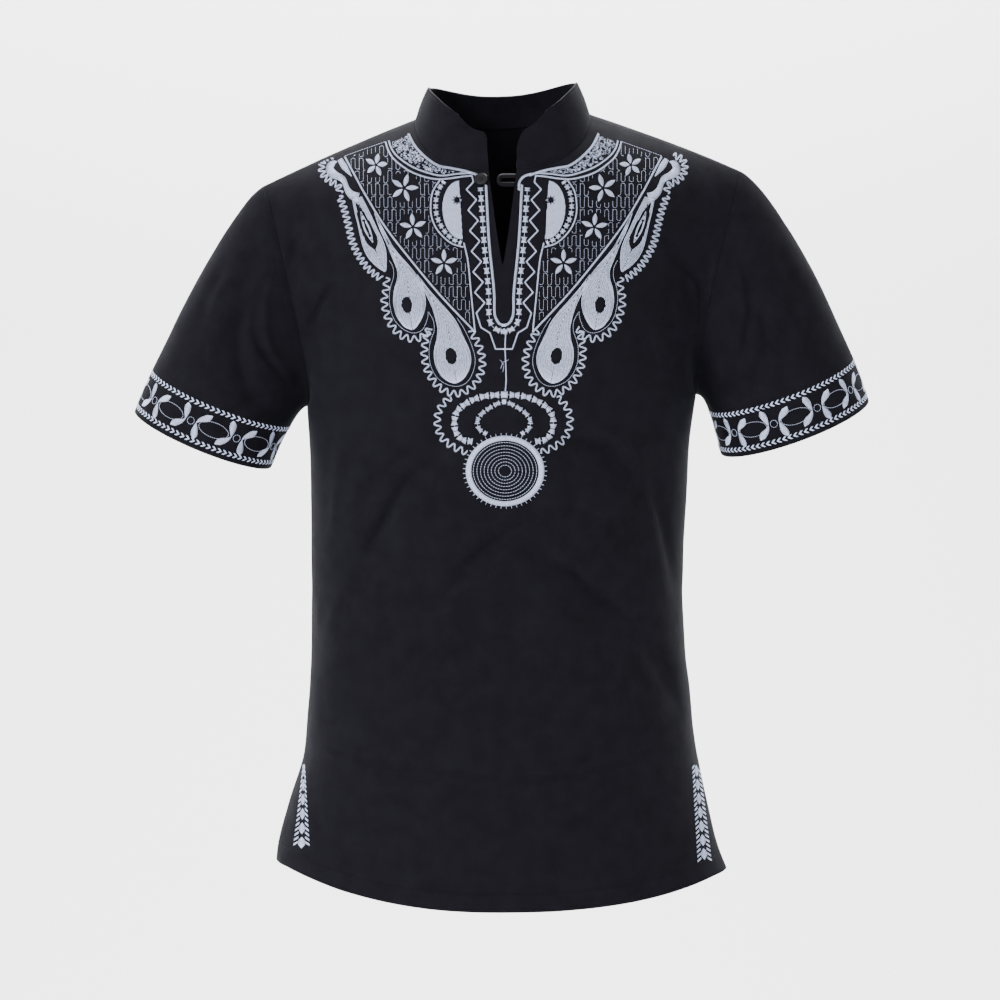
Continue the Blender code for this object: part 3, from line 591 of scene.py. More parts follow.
# Materials
COTTON_COLOUR = (0.0056, 0.0053, 0.0080)
THREAD_COLOUR = (0.68, 0.75, 1.0)
BLACK_THREAD_COLOUR = (0.004, 0.004, 0.006)
CORD_COLOUR = (0.005, 0.005, 0.007)
WEAVE_PITCH = 0.00052
SLUB_SCALE = (1800.0, 120.0, 1.0)
MOTTLE_SCALE = 55.0
# Size of the patches that lighten and darken the thread: uneven tone, and painted highlight and
# shade in place of the satin's sheen
THREAD_SHEEN_AND_TONE_SCALE = 420.0
THREAD_TWIST_SCALE = 2600.0
BUTTON_WEAR_SCALE = 900.0

# Studio, in metres
STAGE_SHADE = 0.97
STAGE_NEAR = 3.0
STAGE_BACK = 2.6
STAGE_FLOOR = -1.4
STAGE_TOP = 4.0
STAGE_HALF = 4.5
STAGE_SWEEP = 1.2
STAGE_SWEEP_STEPS = 16
WORLD_COLOUR = (1.0, 1.0, 1.0, 1.0)
WORLD_STRENGTH = 1.12
# Lights: name, place, target, size and power, in metres and watts
LIGHTS = (
    ("key", (-2.3, -2.2, 1.3), (0.0, 0.0, -0.35), (1.1, 1.1), 130.0),
    ("fill", (2.4, -2.4, 0.2), (0.0, 0.0, -0.4), (1.8, 1.8), 5.0),
    ("backdrop_light", (0.0, 1.2, 2.0), (0.0, 2.6, -0.2), (4.0, 1.0), 340.0),
)


def smooth_step(value):
    share = np.clip(value, 0.0, 1.0)
    return share * share * (3 - 2 * share)


def unit(vectors):
    return vectors / np.maximum(np.linalg.norm(vectors, axis=-1, keepdims=True), 1e-9)


def run_of(line):
    """The length run along a line at each of its points."""
    return np.concatenate([[0.0], np.cumsum(np.linalg.norm(np.diff(line, axis=0), axis=1))])


def points_at(line, run, spots):
    """The points at these lengths along a line."""
    return np.stack([np.interp(spots, run, values) for values in line.T], 1)


def column_at(name, height):
    """A column of the body table at any height, on a smooth curve through its rows."""
    table = np.array(BODY_SECTIONS)
    heights = table[:, 0]
    values = table[:, BODY_COLUMNS.index(name)]
    slopes = np.gradient(values, heights)
    row = np.clip(np.searchsorted(heights, height) - 1, 0, len(heights) - 2)
    step = heights[row + 1] - heights[row]
    share = np.clip((height - heights[row]) / step, 0.0, 1.0)
    return (
        values[row] * (1 + 2 * share) * (1 - share) ** 2
        + slopes[row] * step * share * (1 - share) ** 2
        + values[row + 1] * share**2 * (3 - 2 * share)
        + slopes[row + 1] * step * share**2 * (share - 1)
    )


def ring_point(column, height, face):
    """A point of the torso: column runs from -1 to 1 round it, and face is -1 in front."""
    angle = column * math.pi / 2
    across, ahead = np.sin(angle), np.cos(angle)
    rounding = smooth_step((height - BODY_SECTIONS[0][0]) / HEM_SQUARE_SPAN)
    power = HEM_SQUARENESS + (BODY_SQUARENESS - HEM_SQUARENESS) * rounding
    size = (np.abs(across) ** power + np.abs(ahead) ** power) ** (-1 / power)
    half = np.where(
        column < 0, column_at("right_half", height), column_at("left_half", height)
    )
    depth = column_at("front" if face < 0 else "back", height)
    return np.stack(
        [half * across * size, face * depth * ahead * size, height + 0 * column], -1
    )


def hem_height(column, face):
    middle = FRONT_HEM_Z if face < 0 else BACK_HEM_Z
    corner = np.where(column < 0, HEM_CORNER_Z[-1], HEM_CORNER_Z[1])
    rise = smooth_step((np.abs(column) / HEM_CURVE_END) ** HEM_CURVE_POWER)
    return middle + (corner - middle) * rise


def lower_point(column, share, face):
    """The torso from the hem, share 0, to the underarm, share 1, with its vents open."""
    hem = hem_height(column, face)
    point = ring_point(column, hem + (UNDERARM_Z - hem) * share, face)
    opened = np.clip(1 - share / VENT_ROW_SHARE, 0.0, 1.0) ** VENT_OPEN_POWER
    opened = opened * column**VENT_CORNER_POWER
    if face < 0:
        point[..., 1] -= VENT_FRONT_FORWARD * opened
    else:
        point[..., 1] += VENT_BACK_BEHIND * opened
        point[..., 0] -= VENT_BACK_INWARD * opened * np.sign(column)
    return point


def shoulder_line(column):
    """The seam over the shoulder, carried on as a smooth line over the neck hole."""
    across = SHOULDER_HALF * column
    out = np.abs(across)
    beyond = NECK_SEAM_Z - SHOULDER_SLOPE * (out - NECK_HALF)
    beyond = beyond - SHOULDER_DROOP * (out - NECK_HALF) ** 2
    within = NECK_SEAM_Z + SHOULDER_SLOPE * (NECK_HALF**2 - out**2) / (2 * NECK_HALF)
    height = np.where(out > NECK_HALF, beyond, within)
    return np.stack([across, SHOULDER_SEAM_Y + 0 * across, height], -1)


def bezier(start, first, second, end, share):
    share = share[..., None]
    rest = 1 - share
    return (
        start * rest**3
        + 3 * first * rest**2 * share
        + 3 * second * rest * share**2
        + end * share**3
    )


def upper_point(column, share, face):
    """The chest or back from the underarm, share 0, to the shoulder line, share 1."""
    start = ring_point(column, UNDERARM_Z + 0 * column, face)
    scooped = column * (1 - ARMHOLE_SCOOP * column**2)
    first = ring_point(scooped, UNDERARM_Z + 0 * column, face)
    first[..., 2] += CENTRE_RISE + (ARMHOLE_RISE - CENTRE_RISE) * column**2
    end = shoulder_line(column)
    spread = (column**2)[..., None]
    centre, armhole = np.array(SEAM_HANDLE_CENTRE), np.array(SEAM_HANDLE_ARMHOLE)
    handle = centre + (armhole - centre) * spread
    handle = handle * np.stack([np.sign(column), 1 + 0 * column, 1 + 0 * column], -1)
    if face < 0:
        second = end + handle
    else:
        middle, side = BACK_HANDLE_SHARE
        second = end - handle * (middle + (side - middle) * spread)
    return bezier(start, first, second, end, share)


def tilted(points):
    """One shoulder is held a little higher, which fades out down the chest."""
    fade = smooth_step((points[..., 2] - TILT_END_Z) / (TILT_TOP_Z - TILT_END_Z))
    points = points.copy()
    points[..., 2] += SHOULDER_TILT * points[..., 0] * fade
    return points


def panel_columns(half_columns, neck_columns):
    """Even columns for the body, the columns that gather at the neck, and their tops."""
    steps = np.arange(half_columns + 1)
    even = steps / half_columns
    neck = NECK_HALF / SHOULDER_HALF
    turn = np.minimum(steps / neck_columns, 1.0) * math.pi / 2
    beyond = np.maximum(steps - neck_columns, 0) / (half_columns - neck_columns)
    gathered = neck * np.sin(turn) + (1 - neck) * beyond
    return even, gathered, np.cos(turn)


def panel_grid(face, side, half_columns, neck_columns, lower_rows, upper_rows):
    """Half a panel as points[row, column], from its centre line out to side."""
    even, gathered, neck_dip = panel_columns(half_columns, neck_columns)
    neck_share = FRONT_NECK_SHARE if face < 0 else BACK_NECK_SHARE
    tops = 1 - (1 - neck_share) * neck_dip
    lower = [
        lower_point(side * even, row / lower_rows, face) for row in range(lower_rows)
    ]
    upper = []
    for row in range(upper_rows + 1):
        way = row / upper_rows
        column = even + (gathered - even) * way**2
        if face < 0:
            opened = max(0.0, way - SLIT_SHARE) / (1 - SLIT_SHARE)
            gap = SLIT_HALF_GAP / SHOULDER_HALF * opened**SLIT_CURVE_POWER
            neck = NECK_HALF / SHOULDER_HALF
            column = column + gap * np.maximum(0.0, 1 - column / neck)
        upper.append(upper_point(side * column, tops * way, face))
    return tilted(np.array(lower + upper))


def nearest_on(flat, path):
    """Each point's distance from a path, its side, 1 on the left, and its share along it."""
    nearest = np.full(len(flat), np.inf)
    side = np.zeros(len(flat))
    along = np.zeros(len(flat))
    for step in range(len(path) - 1):
        run = path[step + 1] - path[step]
        offset = flat - path[step]
        share = np.clip(offset @ run / (run @ run), 0, 1)
        away = np.linalg.norm(offset - share[:, None] * run, axis=1)
        closer = away < nearest
        turn = np.sign(run[0] * offset[:, 1] - run[1] * offset[:, 0])
        nearest = np.where(closer, away, nearest)
        side = np.where(closer, turn, side)
        along = np.where(closer, (step + share) / (len(path) - 1), along)
    return nearest, side, along


def fold_depth(points, folds):
    """How far the folds push each point into the cloth, from its place seen in front."""
    total = np.zeros(len(points))
    flat = points[:, [0, 2]]
    for fold in folds:
        start, bend, end = (np.array(place, float) for place in fold[:3])
        depth, width = fold[3:]
        steps = np.linspace(0, 1, FOLD_SAMPLES)[:, None]
        path = (
            start * (1 - steps) ** 2 + 2 * bend * steps * (1 - steps) + end * steps**2
        )
        nearest, _, along = nearest_on(flat, path)
        inner = np.clip(along, FOLD_TIP, 1 - FOLD_TIP)
        taper = np.sin(math.pi * inner) ** FOLD_TAPER_POWER
        total += depth * taper * np.exp(-((nearest / width) ** 2))
    return total


def sheet_normals(points, faces):
    corners = points[faces]
    face_normals = np.cross(
        corners[:, 2] - corners[:, 0], corners[:, 3] - corners[:, 1]
    )
    normals = np.zeros_like(points)
    for corner in range(4):
        np.add.at(normals, faces[:, corner], face_normals)
    return unit(normals)


class Sheet:
    """One cut piece of cloth: its outer points, faces, thickness and sewn edges."""

    def __init__(self, name, wall):
        self.name = name
        self.wall = wall
        self.points = []
        self.faces = []
        self.thickness = []
        self.seams = []

    def add_grid(self, index):
        """Faces between neighbouring entries of index[row, column], outer side out."""
        for row in range(index.shape[0] - 1):
            for column in range(index.shape[1] - 1):
                self.faces.append(
                    (
                        index[row, column],
                        index[row, column + 1],
                        index[row + 1, column + 1],
                        index[row + 1, column],
                    )
                )

    def close(self):
        self.points = np.array(self.points)
        self.faces = np.array(self.faces)
        self.thickness = np.array(self.thickness)
        self.normals = sheet_normals(self.points, self.faces)

    def add_seam(self, edges, beside, closed=False):
        """A sewn edge, the points next to it inside the piece, and whether it loops."""
        self.seams.append((np.array(edges), np.array(beside), closed))

    def seam_ways(self):
        """For each seam its points and the directions that lead from it into the cloth."""
        for edges, beside, closed in self.seams:
            line = self.points[edges]
            if closed:
                tangents = np.roll(line, -1, axis=0) - np.roll(line, 1, axis=0)
            else:
                tangents = np.gradient(line, axis=0)
            tangents = unit(tangents)
            ways = self.points[beside] - line
            ways -= tangents * np.sum(ways * tangents, axis=1, keepdims=True)
            yield edges, unit(ways)

    def shift(self, rise):
        """Moves each point out along its normal."""
        self.points = self.points + self.normals * rise[:, None]
        self.normals = sheet_normals(self.points, self.faces)

    def push(self, depth, facing):
        """Pushes points in on the side of the sheet that facing, -1 or 1, picks."""
        self.shift(-depth * smooth_step(self.normals[:, 1] * facing / FOLD_TURN_FADE))

    def fold(self, folds, fade, facing):
        self.push(fold_depth(self.points, folds) * fade, facing)

    def press(self, creases, fade, facing):
        self.push(crease_depth(self.points, creases) * fade * CREASE_SCALE, facing)

    def ruffle(self, fade, phase):
        """Adds the soft unevenness, which fades out towards the sewn edges."""
        self.shift(swell_height(self.points, phase) * fade)


def panel(name, face):
    """A front or back panel. Its two halves share the centre line below the slit."""
    sheet = Sheet(name, WALL)
    fades = []
    rows = LOWER_ROWS + UPPER_ROWS + 1
    index = {}
    for side in (-1, 1):
        points = panel_grid(
            face, side, HALF_COLUMNS, NECK_COLUMNS, LOWER_ROWS, UPPER_ROWS
        )
        index[side] = np.zeros((rows, HALF_COLUMNS + 1), int)
        for row in range(rows):
            for column in range(HALF_COLUMNS + 1):
                split = face < 0 and row > LOWER_ROWS + SLIT_ROW
                if side > 0 and column == 0 and not split:
                    index[side][row, 0] = index[-1][row, 0]
                    continue
                index[side][row, column] = len(sheet.points)
                sheet.points.append(points[row, column])
                sheet.thickness.append(HEM_WALL if row < HEM_ROWS else WALL)
                fades.append(
                    smooth_step((1 - column / HALF_COLUMNS) / FOLD_EDGE_FADE)
                    * smooth_step((rows - 1 - row) / FOLD_TOP_ROWS)
                )
        sheet.add_seam(index[side][VENT_ROW:, -1], index[side][VENT_ROW:, -2])
    right, left = index[-1], index[1]
    if face < 0:
        sheet.add_grid(right[:, ::-1])
        sheet.add_grid(left)
        # The slit parts the front's top edge.
        sheet.add_seam(right[-1], right[-2])
        sheet.add_seam(left[-1], left[-2])
    else:
        sheet.add_grid(right)
        sheet.add_grid(left[:, ::-1])
        top = np.concatenate([right[-1, ::-1], left[-1, 1:]])
        below = np.concatenate([right[-2, ::-1], left[-2, 1:]])
        sheet.add_seam(top, below)
    sheet.index = index
    sheet.close()
    fade = np.array(fades)
    sheet.fold(FRONT_FOLDS if face < 0 else BACK_FOLDS, fade, face)
    sheet.press(FRONT_CREASES if face < 0 else BACK_CREASES, fade, face)
    if face < 0:
        sheet.press(PRESSED_CREASES, fade, face)
    sheet.ruffle(fade, face * PANEL_SWELL_PHASE)
    return sheet


def armhole_loop(front, back, side):
    """The sewn loop from the underarm up the front and down the back."""
    up = front.index[side][LOWER_ROWS:, -1]
    down = back.index[side][LOWER_ROWS:, -1][::-1]
    return np.concatenate([front.points[up], back.points[down][1:-1]])


def sleeve_frame(side):
    """The cuff's outward, forward and downward directions."""
    outward = unit(np.array([side * 1.0, 0.0, CUFF_RISE[side]]))
    forward = unit(np.array([0.0, -1.0, -CUFF_PITCH[side]]))
    downward = np.cross(outward, forward) * side
    return outward, forward, unit(downward) * -np.sign(downward[2])


def sleeve_point(start, angle, share, side):
    """The sleeve from an armhole point, share 0, to the cuff at that angle, share 1."""
    outward, forward, downward = sleeve_frame(side)
    turn, lift = np.sin(angle)[:, None], ((1 - np.cos(angle)) / 2)[:, None]
    end = (
        np.array(CUFF_CENTRE[side])
        - outward * CUFF_HALF_WIDTH[side] * np.cos(angle)[:, None]
        + forward * CUFF_HALF_DEPTH[side] * turn
    )
    low, high = np.array(SLEEVE_LEAVE_UNDERARM), np.array(SLEEVE_LEAVE_SHOULDER)
    leave = low + (high - low) * lift
    leave = leave * np.concatenate([side + 0 * turn, -turn, 1 + 0 * turn], axis=1)
    short, top, face = SLEEVE_START_LENGTHS[side]
    first = start + unit(leave) * (short + top * lift + face * np.abs(turn))
    short, top = SLEEVE_END_LENGTHS
    second = end - downward * (short + top * lift)
    return bezier(start, first, second, end, np.full(len(start), share))


def loop_angles(loop, top):
    """Angles round the cuff in step with the length along the armhole loop."""
    closed = np.concatenate([loop, loop[:1]])
    run = run_of(closed)
    front = run[: top + 1] / run[top]
    back = (run[top:-1] - run[top]) / (run[-1] - run[top])
    return np.concatenate([front * math.pi, math.pi + back[1:] * math.pi])


def lowered(path):
    """The path a little lower, for the back of a sleeve."""
    return tuple((x, z - SLEEVE_BACK_FOLD_DROP) for x, z in path)


def sleeve(name, side, loop):
    sheet = Sheet(name, WALL)
    angles = loop_angles(loop, UPPER_ROWS)
    around = len(loop)
    index = np.arange((SLEEVE_ROWS + 1) * around).reshape(SLEEVE_ROWS + 1, around)
    fades = []
    for row in range(SLEEVE_ROWS + 1):
        share = row / SLEEVE_ROWS
        sheet.points.extend(sleeve_point(loop, angles, share, side))
        wall = HEM_WALL if row > SLEEVE_ROWS - HEM_ROWS else WALL
        sheet.thickness.extend([wall] * around)
        fade = smooth_step(row / SLEEVE_FADE_ROWS) * smooth_step((1 - share) / CUFF_FADE)
        fades.extend([fade] * around)
    sheet.add_seam(index[0], index[1], closed=True)
    wrapped = np.concatenate([index, index[:, :1]], axis=1)
    sheet.add_grid(wrapped[:, ::-1] if side > 0 else wrapped)
    sheet.index = index
    sheet.close()
    fade = np.array(fades)
    folds, creases = SLEEVE_FOLDS[side], SLEEVE_CREASES[side]
    sheet.fold(folds, fade, -1)
    sheet.fold([(*lowered(fold[:3]), *fold[3:]) for fold in folds], fade, 1)
    sheet.press(creases, fade, -1)
    sheet.press([(lowered(path), *rest) for path, *rest in creases], fade, 1)
    sheet.ruffle(fade, side * SLEEVE_SWELL_PHASE)
    return sheet


def neck_path(front, back):
    """The neckline's points from one end of the slit round the back to the other."""
    top = LOWER_ROWS + UPPER_ROWS
    path = []
    for side, order in ((-1, 1), (1, -1)):
        fore = front.points[front.index[side][top, : NECK_COLUMNS + 1]]
        aft = back.points[back.index[side][top, : NECK_COLUMNS + 1]]
        half = np.concatenate([fore, aft[:-1][::-1]])
        path.append(half[::order])
    return np.concatenate([path[0], path[1][1:]])


def collar(front, back):
    """The stand collar: it rises from the neckline and leans in towards the neck."""
    sheet = Sheet("collar", COLLAR_WALL)
    seam = neck_path(front, back)
    middles = (seam[1:] + seam[:-1]) / 2
    base = np.empty((2 * len(seam) - 1, 3))
    base[::2], base[1::2] = seam, middles
    run = run_of(base)
    inward = np.stack(
        [-base[:, 0], COLLAR_AXIS_Y - base[:, 1], np.zeros(len(base))], axis=1
    )
    inward = unit(inward)
    along = unit(np.gradient(base, axis=0))
    upward = inward * math.sin(COLLAR_LEAN) + [0.0, 0.0, math.cos(COLLAR_LEAN)]
    upward = unit(upward - along * np.sum(upward * along, axis=1, keepdims=True))
    shares, sizes = np.array(COLLAR_HEIGHTS).T
    heights = np.interp(1 - np.abs(2 * run / run[-1] - 1), shares, sizes)
    for side, away in ((-1, run), (1, run[-1] - run)):
        radius = COLLAR_CORNER[side]
        near = away < radius
        heights[near] -= radius - np.sqrt(radius**2 - (radius - away[near]) ** 2)
    index = np.arange((COLLAR_ROWS + 1) * len(base)).reshape(COLLAR_ROWS + 1, -1)
    for row in range(COLLAR_ROWS + 1):
        share = row / COLLAR_ROWS
        rise = heights * share
        bow = -COLLAR_BOW * math.sin(math.pi * share)
        sheet.points.extend(base + upward * rise[:, None] + inward * bow)
        sheet.thickness.extend([COLLAR_WALL] * len(base))
    sheet.add_seam(index[0], index[1])
    sheet.add_grid(index[:, ::-1])
    sheet.index = index
    sheet.close()
    return sheet


def place_of(point):
    return tuple(np.round(point, 3))


def into_piece(tangent, normal, hint):
    """The direction that leaves a seam along a piece's surface, on the hint's side."""
    way = np.cross(tangent, normal)
    return way if way @ hint > 0 else -way


def share_seam_normals(body, sewn_on):
    """Where pieces meet, all take one normal midway, so that their edges lie parallel."""
    sums, inward = {}, {}
    for sheet in body:
        for point, normal in zip(sheet.points, sheet.normals):
            sums.setdefault(place_of(point), np.zeros(3))
            sums[place_of(point)] += normal
        for edges, ways in sheet.seam_ways():
            for point, way in zip(sheet.points[edges], ways):
                inward.setdefault(place_of(point), np.zeros(3))
                inward[place_of(point)] += way
    shared = {place: unit(total) for place, total in sums.items()}
    for sheet in sewn_on:
        seam, beside = sheet.points[sheet.index[0]], sheet.points[sheet.index[1]]
        missing = []
        for number, edge in enumerate(sheet.index[0]):
            place = place_of(seam[number])
            if place not in sums:
                missing.append(number)
                continue
            before, after = seam[number - 1], seam[(number + 1) % len(seam)]
            tangent = unit(after - before)
            on_body, on_sewn = unit(sums[place]), sheet.normals[edge]
            body_way = into_piece(tangent, on_body, inward[place])
            sewn_way = into_piece(tangent, on_sewn, beside[number] - seam[number])
            bend = np.sign(sewn_way @ on_body) * (body_way + sewn_way)
            shared[place] = unit(on_body + on_sewn + bend)
            sheet.normals[edge] = shared[place]
        for number in missing:
            around = sheet.index[0][[number - 1, number + 1]]
            sheet.normals[sheet.index[0][number]] = sheet.normals[around].mean(axis=0)
    for sheet in body:
        for number, point in enumerate(sheet.points):
            sheet.normals[number] = shared[place_of(point)]


def spline(path, step, closed=False):
    """Evenly spaced points on a smooth curve through the path's points."""
    path = np.array(path, float)
    count = len(path)
    if closed:
        ends = np.concatenate([path[-1:], path, path[:2]])
    else:
        ends = np.concatenate([2 * path[:1] - path[1:2], path, 2 * path[-1:] - path[-2:-1]])
    share = np.linspace(0, 1, 12, endpoint=False)[:, None]
    runs = []
    for start in range(count if closed else count - 1):
        before, first, second, after = ends[start : start + 4]
        runs.append(
            0.5
            * (
                2 * first
                + (second - before) * share
                + (2 * before - 5 * first + 4 * second - after) * share**2
                + (3 * first - before - 3 * second + after) * share**3
            )
        )
    curve = np.concatenate(runs + [path[:1] if closed else path[-1:]])
    return evenly(curve, step)


def evenly(line, step):
    """The line again in equal steps of about this length."""
    line = np.array(line, float)
    run = run_of(line)
    count = max(2, round(run[-1] / step) + 1)
    return points_at(line, run, np.linspace(0, run[-1], count))


def crease_depth(points, creases):
    """How far the creases press each point in, with their lips standing up beside them."""
    total = np.zeros(len(points))
    flat = points[:, [0, 2]]
    for path, depth, width, lip in creases:
        nearest, left, along = nearest_on(flat, spline(path, PATH_STEP))
        inner = np.clip(along, CREASE_TIP, 1 - CREASE_TIP)
        taper = np.sin(math.pi * inner) ** CREASE_TAPER_POWER
        # The width of a real crease wanders along its length.
        local = width * (1 + CREASE_WANDER * np.sin(CREASE_WANDER_TURN * along + path[0][0]))
        trough = np.exp(-((nearest / local) ** 2))
        across = nearest * left * (np.sign(lip) if lip else 1.0)
        ridge = np.exp(-(((across - LIP_AWAY * local) / (LIP_WIDTH * local)) ** 2))
        total += depth * taper * (trough - abs(lip) * ridge)
    return total


def swell_height(points, phase):
    """A gentle uneven rise and fall of the cloth."""
    total = np.zeros(len(points))
    for size, height in SWELLS:
        for number, point in enumerate(points):
            total[number] += height * noise.noise(Vector(point / size + phase))
    return total


def sheet_map(sheet, grids):
    """Lengths across and along the cloth at each point, for the weave."""
    places = np.zeros((len(sheet.points), 2))
    for index in grids:
        spots = sheet.points[index]
        across = np.cumsum(np.linalg.norm(np.diff(spots, axis=1), axis=2), axis=1)
        along = np.cumsum(np.linalg.norm(np.diff(spots, axis=0), axis=2), axis=0)
        across = np.concatenate([np.zeros((len(spots), 1)), across], axis=1)
        along = np.concatenate([np.zeros((1, spots.shape[1])), along], axis=0)
        # One length is taken for the whole column, so that the threads run straight.
        even = np.median(across, axis=0)[None, :] + 0 * across
        places[index.ravel(), 0] = even.ravel()
        places[index.ravel(), 1] = along.ravel()
    return places


def fine_wall(name, sheet, places, material):
    """The sheet as a closed thin wall with its weave coordinates."""
    outer = sheet.points.copy()
    for edges, ways in sheet.seam_ways():
        outer[edges] += ways * SEAM_PULL
    inside = outer - sheet.normals * sheet.thickness[:, None]
    count = len(outer)
    faces = sheet.faces
    sides = np.concatenate([faces[:, [k, (k + 1) % 4]] for k in range(4)])
    keys = sides[:, 0] * count + sides[:, 1]
    lone = sides[~np.isin(keys, sides[:, 1] * count + sides[:, 0])]
    rims = np.stack([lone[:, 1], lone[:, 0], count + lone[:, 0], count + lone[:, 1]], 1)
    quads = np.concatenate([faces, count + faces[:, ::-1], rims])
    mesh = mesh_of(name, np.concatenate([outer, inside]), quads.tolist(), material)
    mesh.set_sharp_from_angle(angle=SHARP_ANGLE)
    both = np.concatenate([places, places]) * MM
    corners = np.empty(len(mesh.loops), np.int32)
    mesh.loops.foreach_get("vertex_index", corners)
    layer = mesh.uv_layers.new(name="weave")
    layer.data.foreach_set("uv", both[corners].astype(np.float32).ravel())
    return linked(name, mesh)


def mesh_of(name, points, faces, material):
    mesh = bpy.data.meshes.new(name)
    mesh.from_pydata((np.asarray(points) * MM).tolist(), [], faces)
    mesh.update()
    mesh.shade_smooth()
    mesh.materials.append(material)
    return mesh


def linked(name, data):
    """A new object of this data, in the scene."""
    shape = bpy.data.objects.new(name, data)
    bpy.context.scene.collection.objects.link(shape)
    return shape


class Stitches:
    """Stitches gathered for one mesh. Each is a short row of flat pattern points."""

    def __init__(self):
        self.rows = []

    def add(self, points, width=THREAD_WIDTH, height=THREAD_HEIGHT):
        self.rows.append((np.asarray(points, float), width, height))


def beside(line):
    """The directions to the left of a line."""
    along = unit(np.gradient(line, axis=0))
    return np.stack([-along[:, 1], along[:, 0]], 1)


def satin_line(work, path, width):
    """A cord of close cross stitches."""
    line = evenly(path, THREAD_PITCH)
    across = beside(line) * width / 2
    lean = unit(np.gradient(line, axis=0)) * SATIN_SLANT
    for spot, side, shift in zip(line, across, lean):
        work.add([spot - side - shift, spot + side + shift])


def running_line(work, path, stitch, gap, width=FINE_WIDTH, height=FINE_HEIGHT):
    """Stitches in a row along a path, with gaps between them."""
    line = evenly(path, RUN_STEP)
    run = run_of(line)
    start = 0.0
    while start + stitch * LAST_STITCH_SHARE < run[-1]:
        spots = np.linspace(start, min(start + stitch, run[-1]), 3)
        work.add(points_at(line, run, spots), width, height)
        start += stitch + gap


def ladder(work, path, pitch=LADDER_PITCH, block=LADDER_BLOCK, width=LADDER_WIDTH):
    """Satin blocks that narrow in the middle, joined by a thin link."""
    length = np.sum(np.linalg.norm(np.diff(path, axis=0), axis=1))
    count = max(1, round(length / pitch))
    line = evenly(path, length / count / 16)
    side = beside(line)
    per_block = round(16 * block / pitch)
    steps = len(line) - 1
    for number in range(count + 1):
        middle = round(number * steps / count)
        spots = np.arange(middle - per_block // 2, middle + per_block // 2 + 1)
        spots = spots[(spots >= 0) & (spots <= steps)]
        threads = max(4, round(block / THREAD_PITCH))
        for share in np.linspace(0, 1, threads):
            spot = spots[round(share * (len(spots) - 1))]
            half = width / 2 * (LADDER_WAIST + (1 - LADDER_WAIST) * abs(2 * share - 1) ** 1.5)
            work.add([line[spot] - side[spot] * half, line[spot] + side[spot] * half])
        if spots[-1] < steps:
            after = min(steps, spots[-1] + 16 - per_block)
            work.add(line[spots[-1] : after + 1], FINE_WIDTH, FINE_HEIGHT)


def scallops(work, path, half_period):
    """A satin cord that swings to and fro across a path."""
    line = evenly(path, THREAD_PITCH / 2)
    lengths = np.arange(len(line)) * THREAD_PITCH / 2
    wave = np.sin(math.pi * lengths / half_period)
    wave = np.sign(wave) * np.abs(wave) ** SCALLOP_ROUNDNESS
    satin_line(work, line + beside(line) * SCALLOP_SWING * wave[:, None], SCALLOP_WIDTH)


def outline_of(spine):
    """The closed outline round a spine of (x, z, half width) points."""
    curve = spline(spine, 1.2)
    line, half = curve[:, :2], np.maximum(curve[:, 2:], 0.05)
    across = beside(line) * half
    return np.concatenate([line + across, (line - across)[::-1]])


def oval_of(oval, first=0.0, last=360.0):
    """The outline of an oval from one angle to another, in degrees."""
    x, z, half_wide, half_high, tilt = oval
    turn = np.radians(np.linspace(first, last, 61))
    tilt = math.radians(tilt)
    flat = np.stack([half_wide * np.cos(turn), half_high * np.sin(turn)], 1)
    spin = np.array([[math.cos(tilt), math.sin(tilt)], [-math.sin(tilt), math.cos(tilt)]])
    return flat @ spin + [x, z]


def tatami(work, outlines, angle):
    """Fills outlines, with holes by the even and odd rule, with staggered long stitches."""
    turn = math.radians(angle)
    axes = np.array([[math.cos(turn), math.sin(turn)], [-math.sin(turn), math.cos(turn)]])
    starts = np.concatenate([np.asarray(o) @ axes.T for o in outlines])
    ends = np.concatenate([np.roll(np.asarray(o) @ axes.T, -1, axis=0) for o in outlines])
    low, high = starts[:, 1].min(), starts[:, 1].max()
    for number, level in enumerate(np.arange(low + THREAD_PITCH / 2, high, THREAD_PITCH)):
        crossing = (starts[:, 1] > level) != (ends[:, 1] > level)
        first, last = starts[crossing], ends[crossing]
        share = (level - first[:, 1]) / (last[:, 1] - first[:, 1])
        hits = np.sort(first[:, 0] + share * (last[:, 0] - first[:, 0]))
        for left, right in zip(hits[::2], hits[1::2]):
            cuts = np.arange(
                left - left % TATAMI_STITCH + (number * TATAMI_SHIFT) % TATAMI_STITCH,
                right,
                TATAMI_STITCH,
            )
            cuts = cuts[(cuts > left + TATAMI_MARGIN) & (cuts < right - TATAMI_MARGIN)]
            cuts = np.concatenate([[left], cuts, [right]])
            for a, b in zip(cuts, cuts[1:]):
                if b - a > SHORTEST_STITCH:
                    work.add(np.array([[a, level], [b, level]]) @ axes)


def spine_satin(work, spine):
    """Cross stitches along a spine of (x, z, half width) points."""
    curve = spline(spine, THREAD_PITCH)
    across = beside(curve[:, :2]) * np.maximum(curve[:, 2:], 0.15)
    for spot, side in zip(curve[:, :2], across):
        work.add([spot - side, spot, spot + side])


def outline_rows(work, spine, gap=None):
    """Fills a spine with rows that run beside its outline, left out over the gap."""
    curve = spline(spine, 0.5)
    line, half = curve[:, :2], curve[:, 2]
    across = beside(line)
    for number in range(int(half.max() / FILL_PITCH) + 1):
        reach = half - FILL_PITCH * (number + 0.4)
        for way in (-1, 1):
            row = line + across * (reach * way)[:, None]
            keep = reach > 0
            if gap is not None:
                keep &= ~inside(row, gap)
            edges = np.flatnonzero(np.diff(np.concatenate([[False], keep, [False]]).astype(int)))
            for start, end in zip(edges[::2], edges[1::2]):
                stitch_row(work, row[start:end], number)


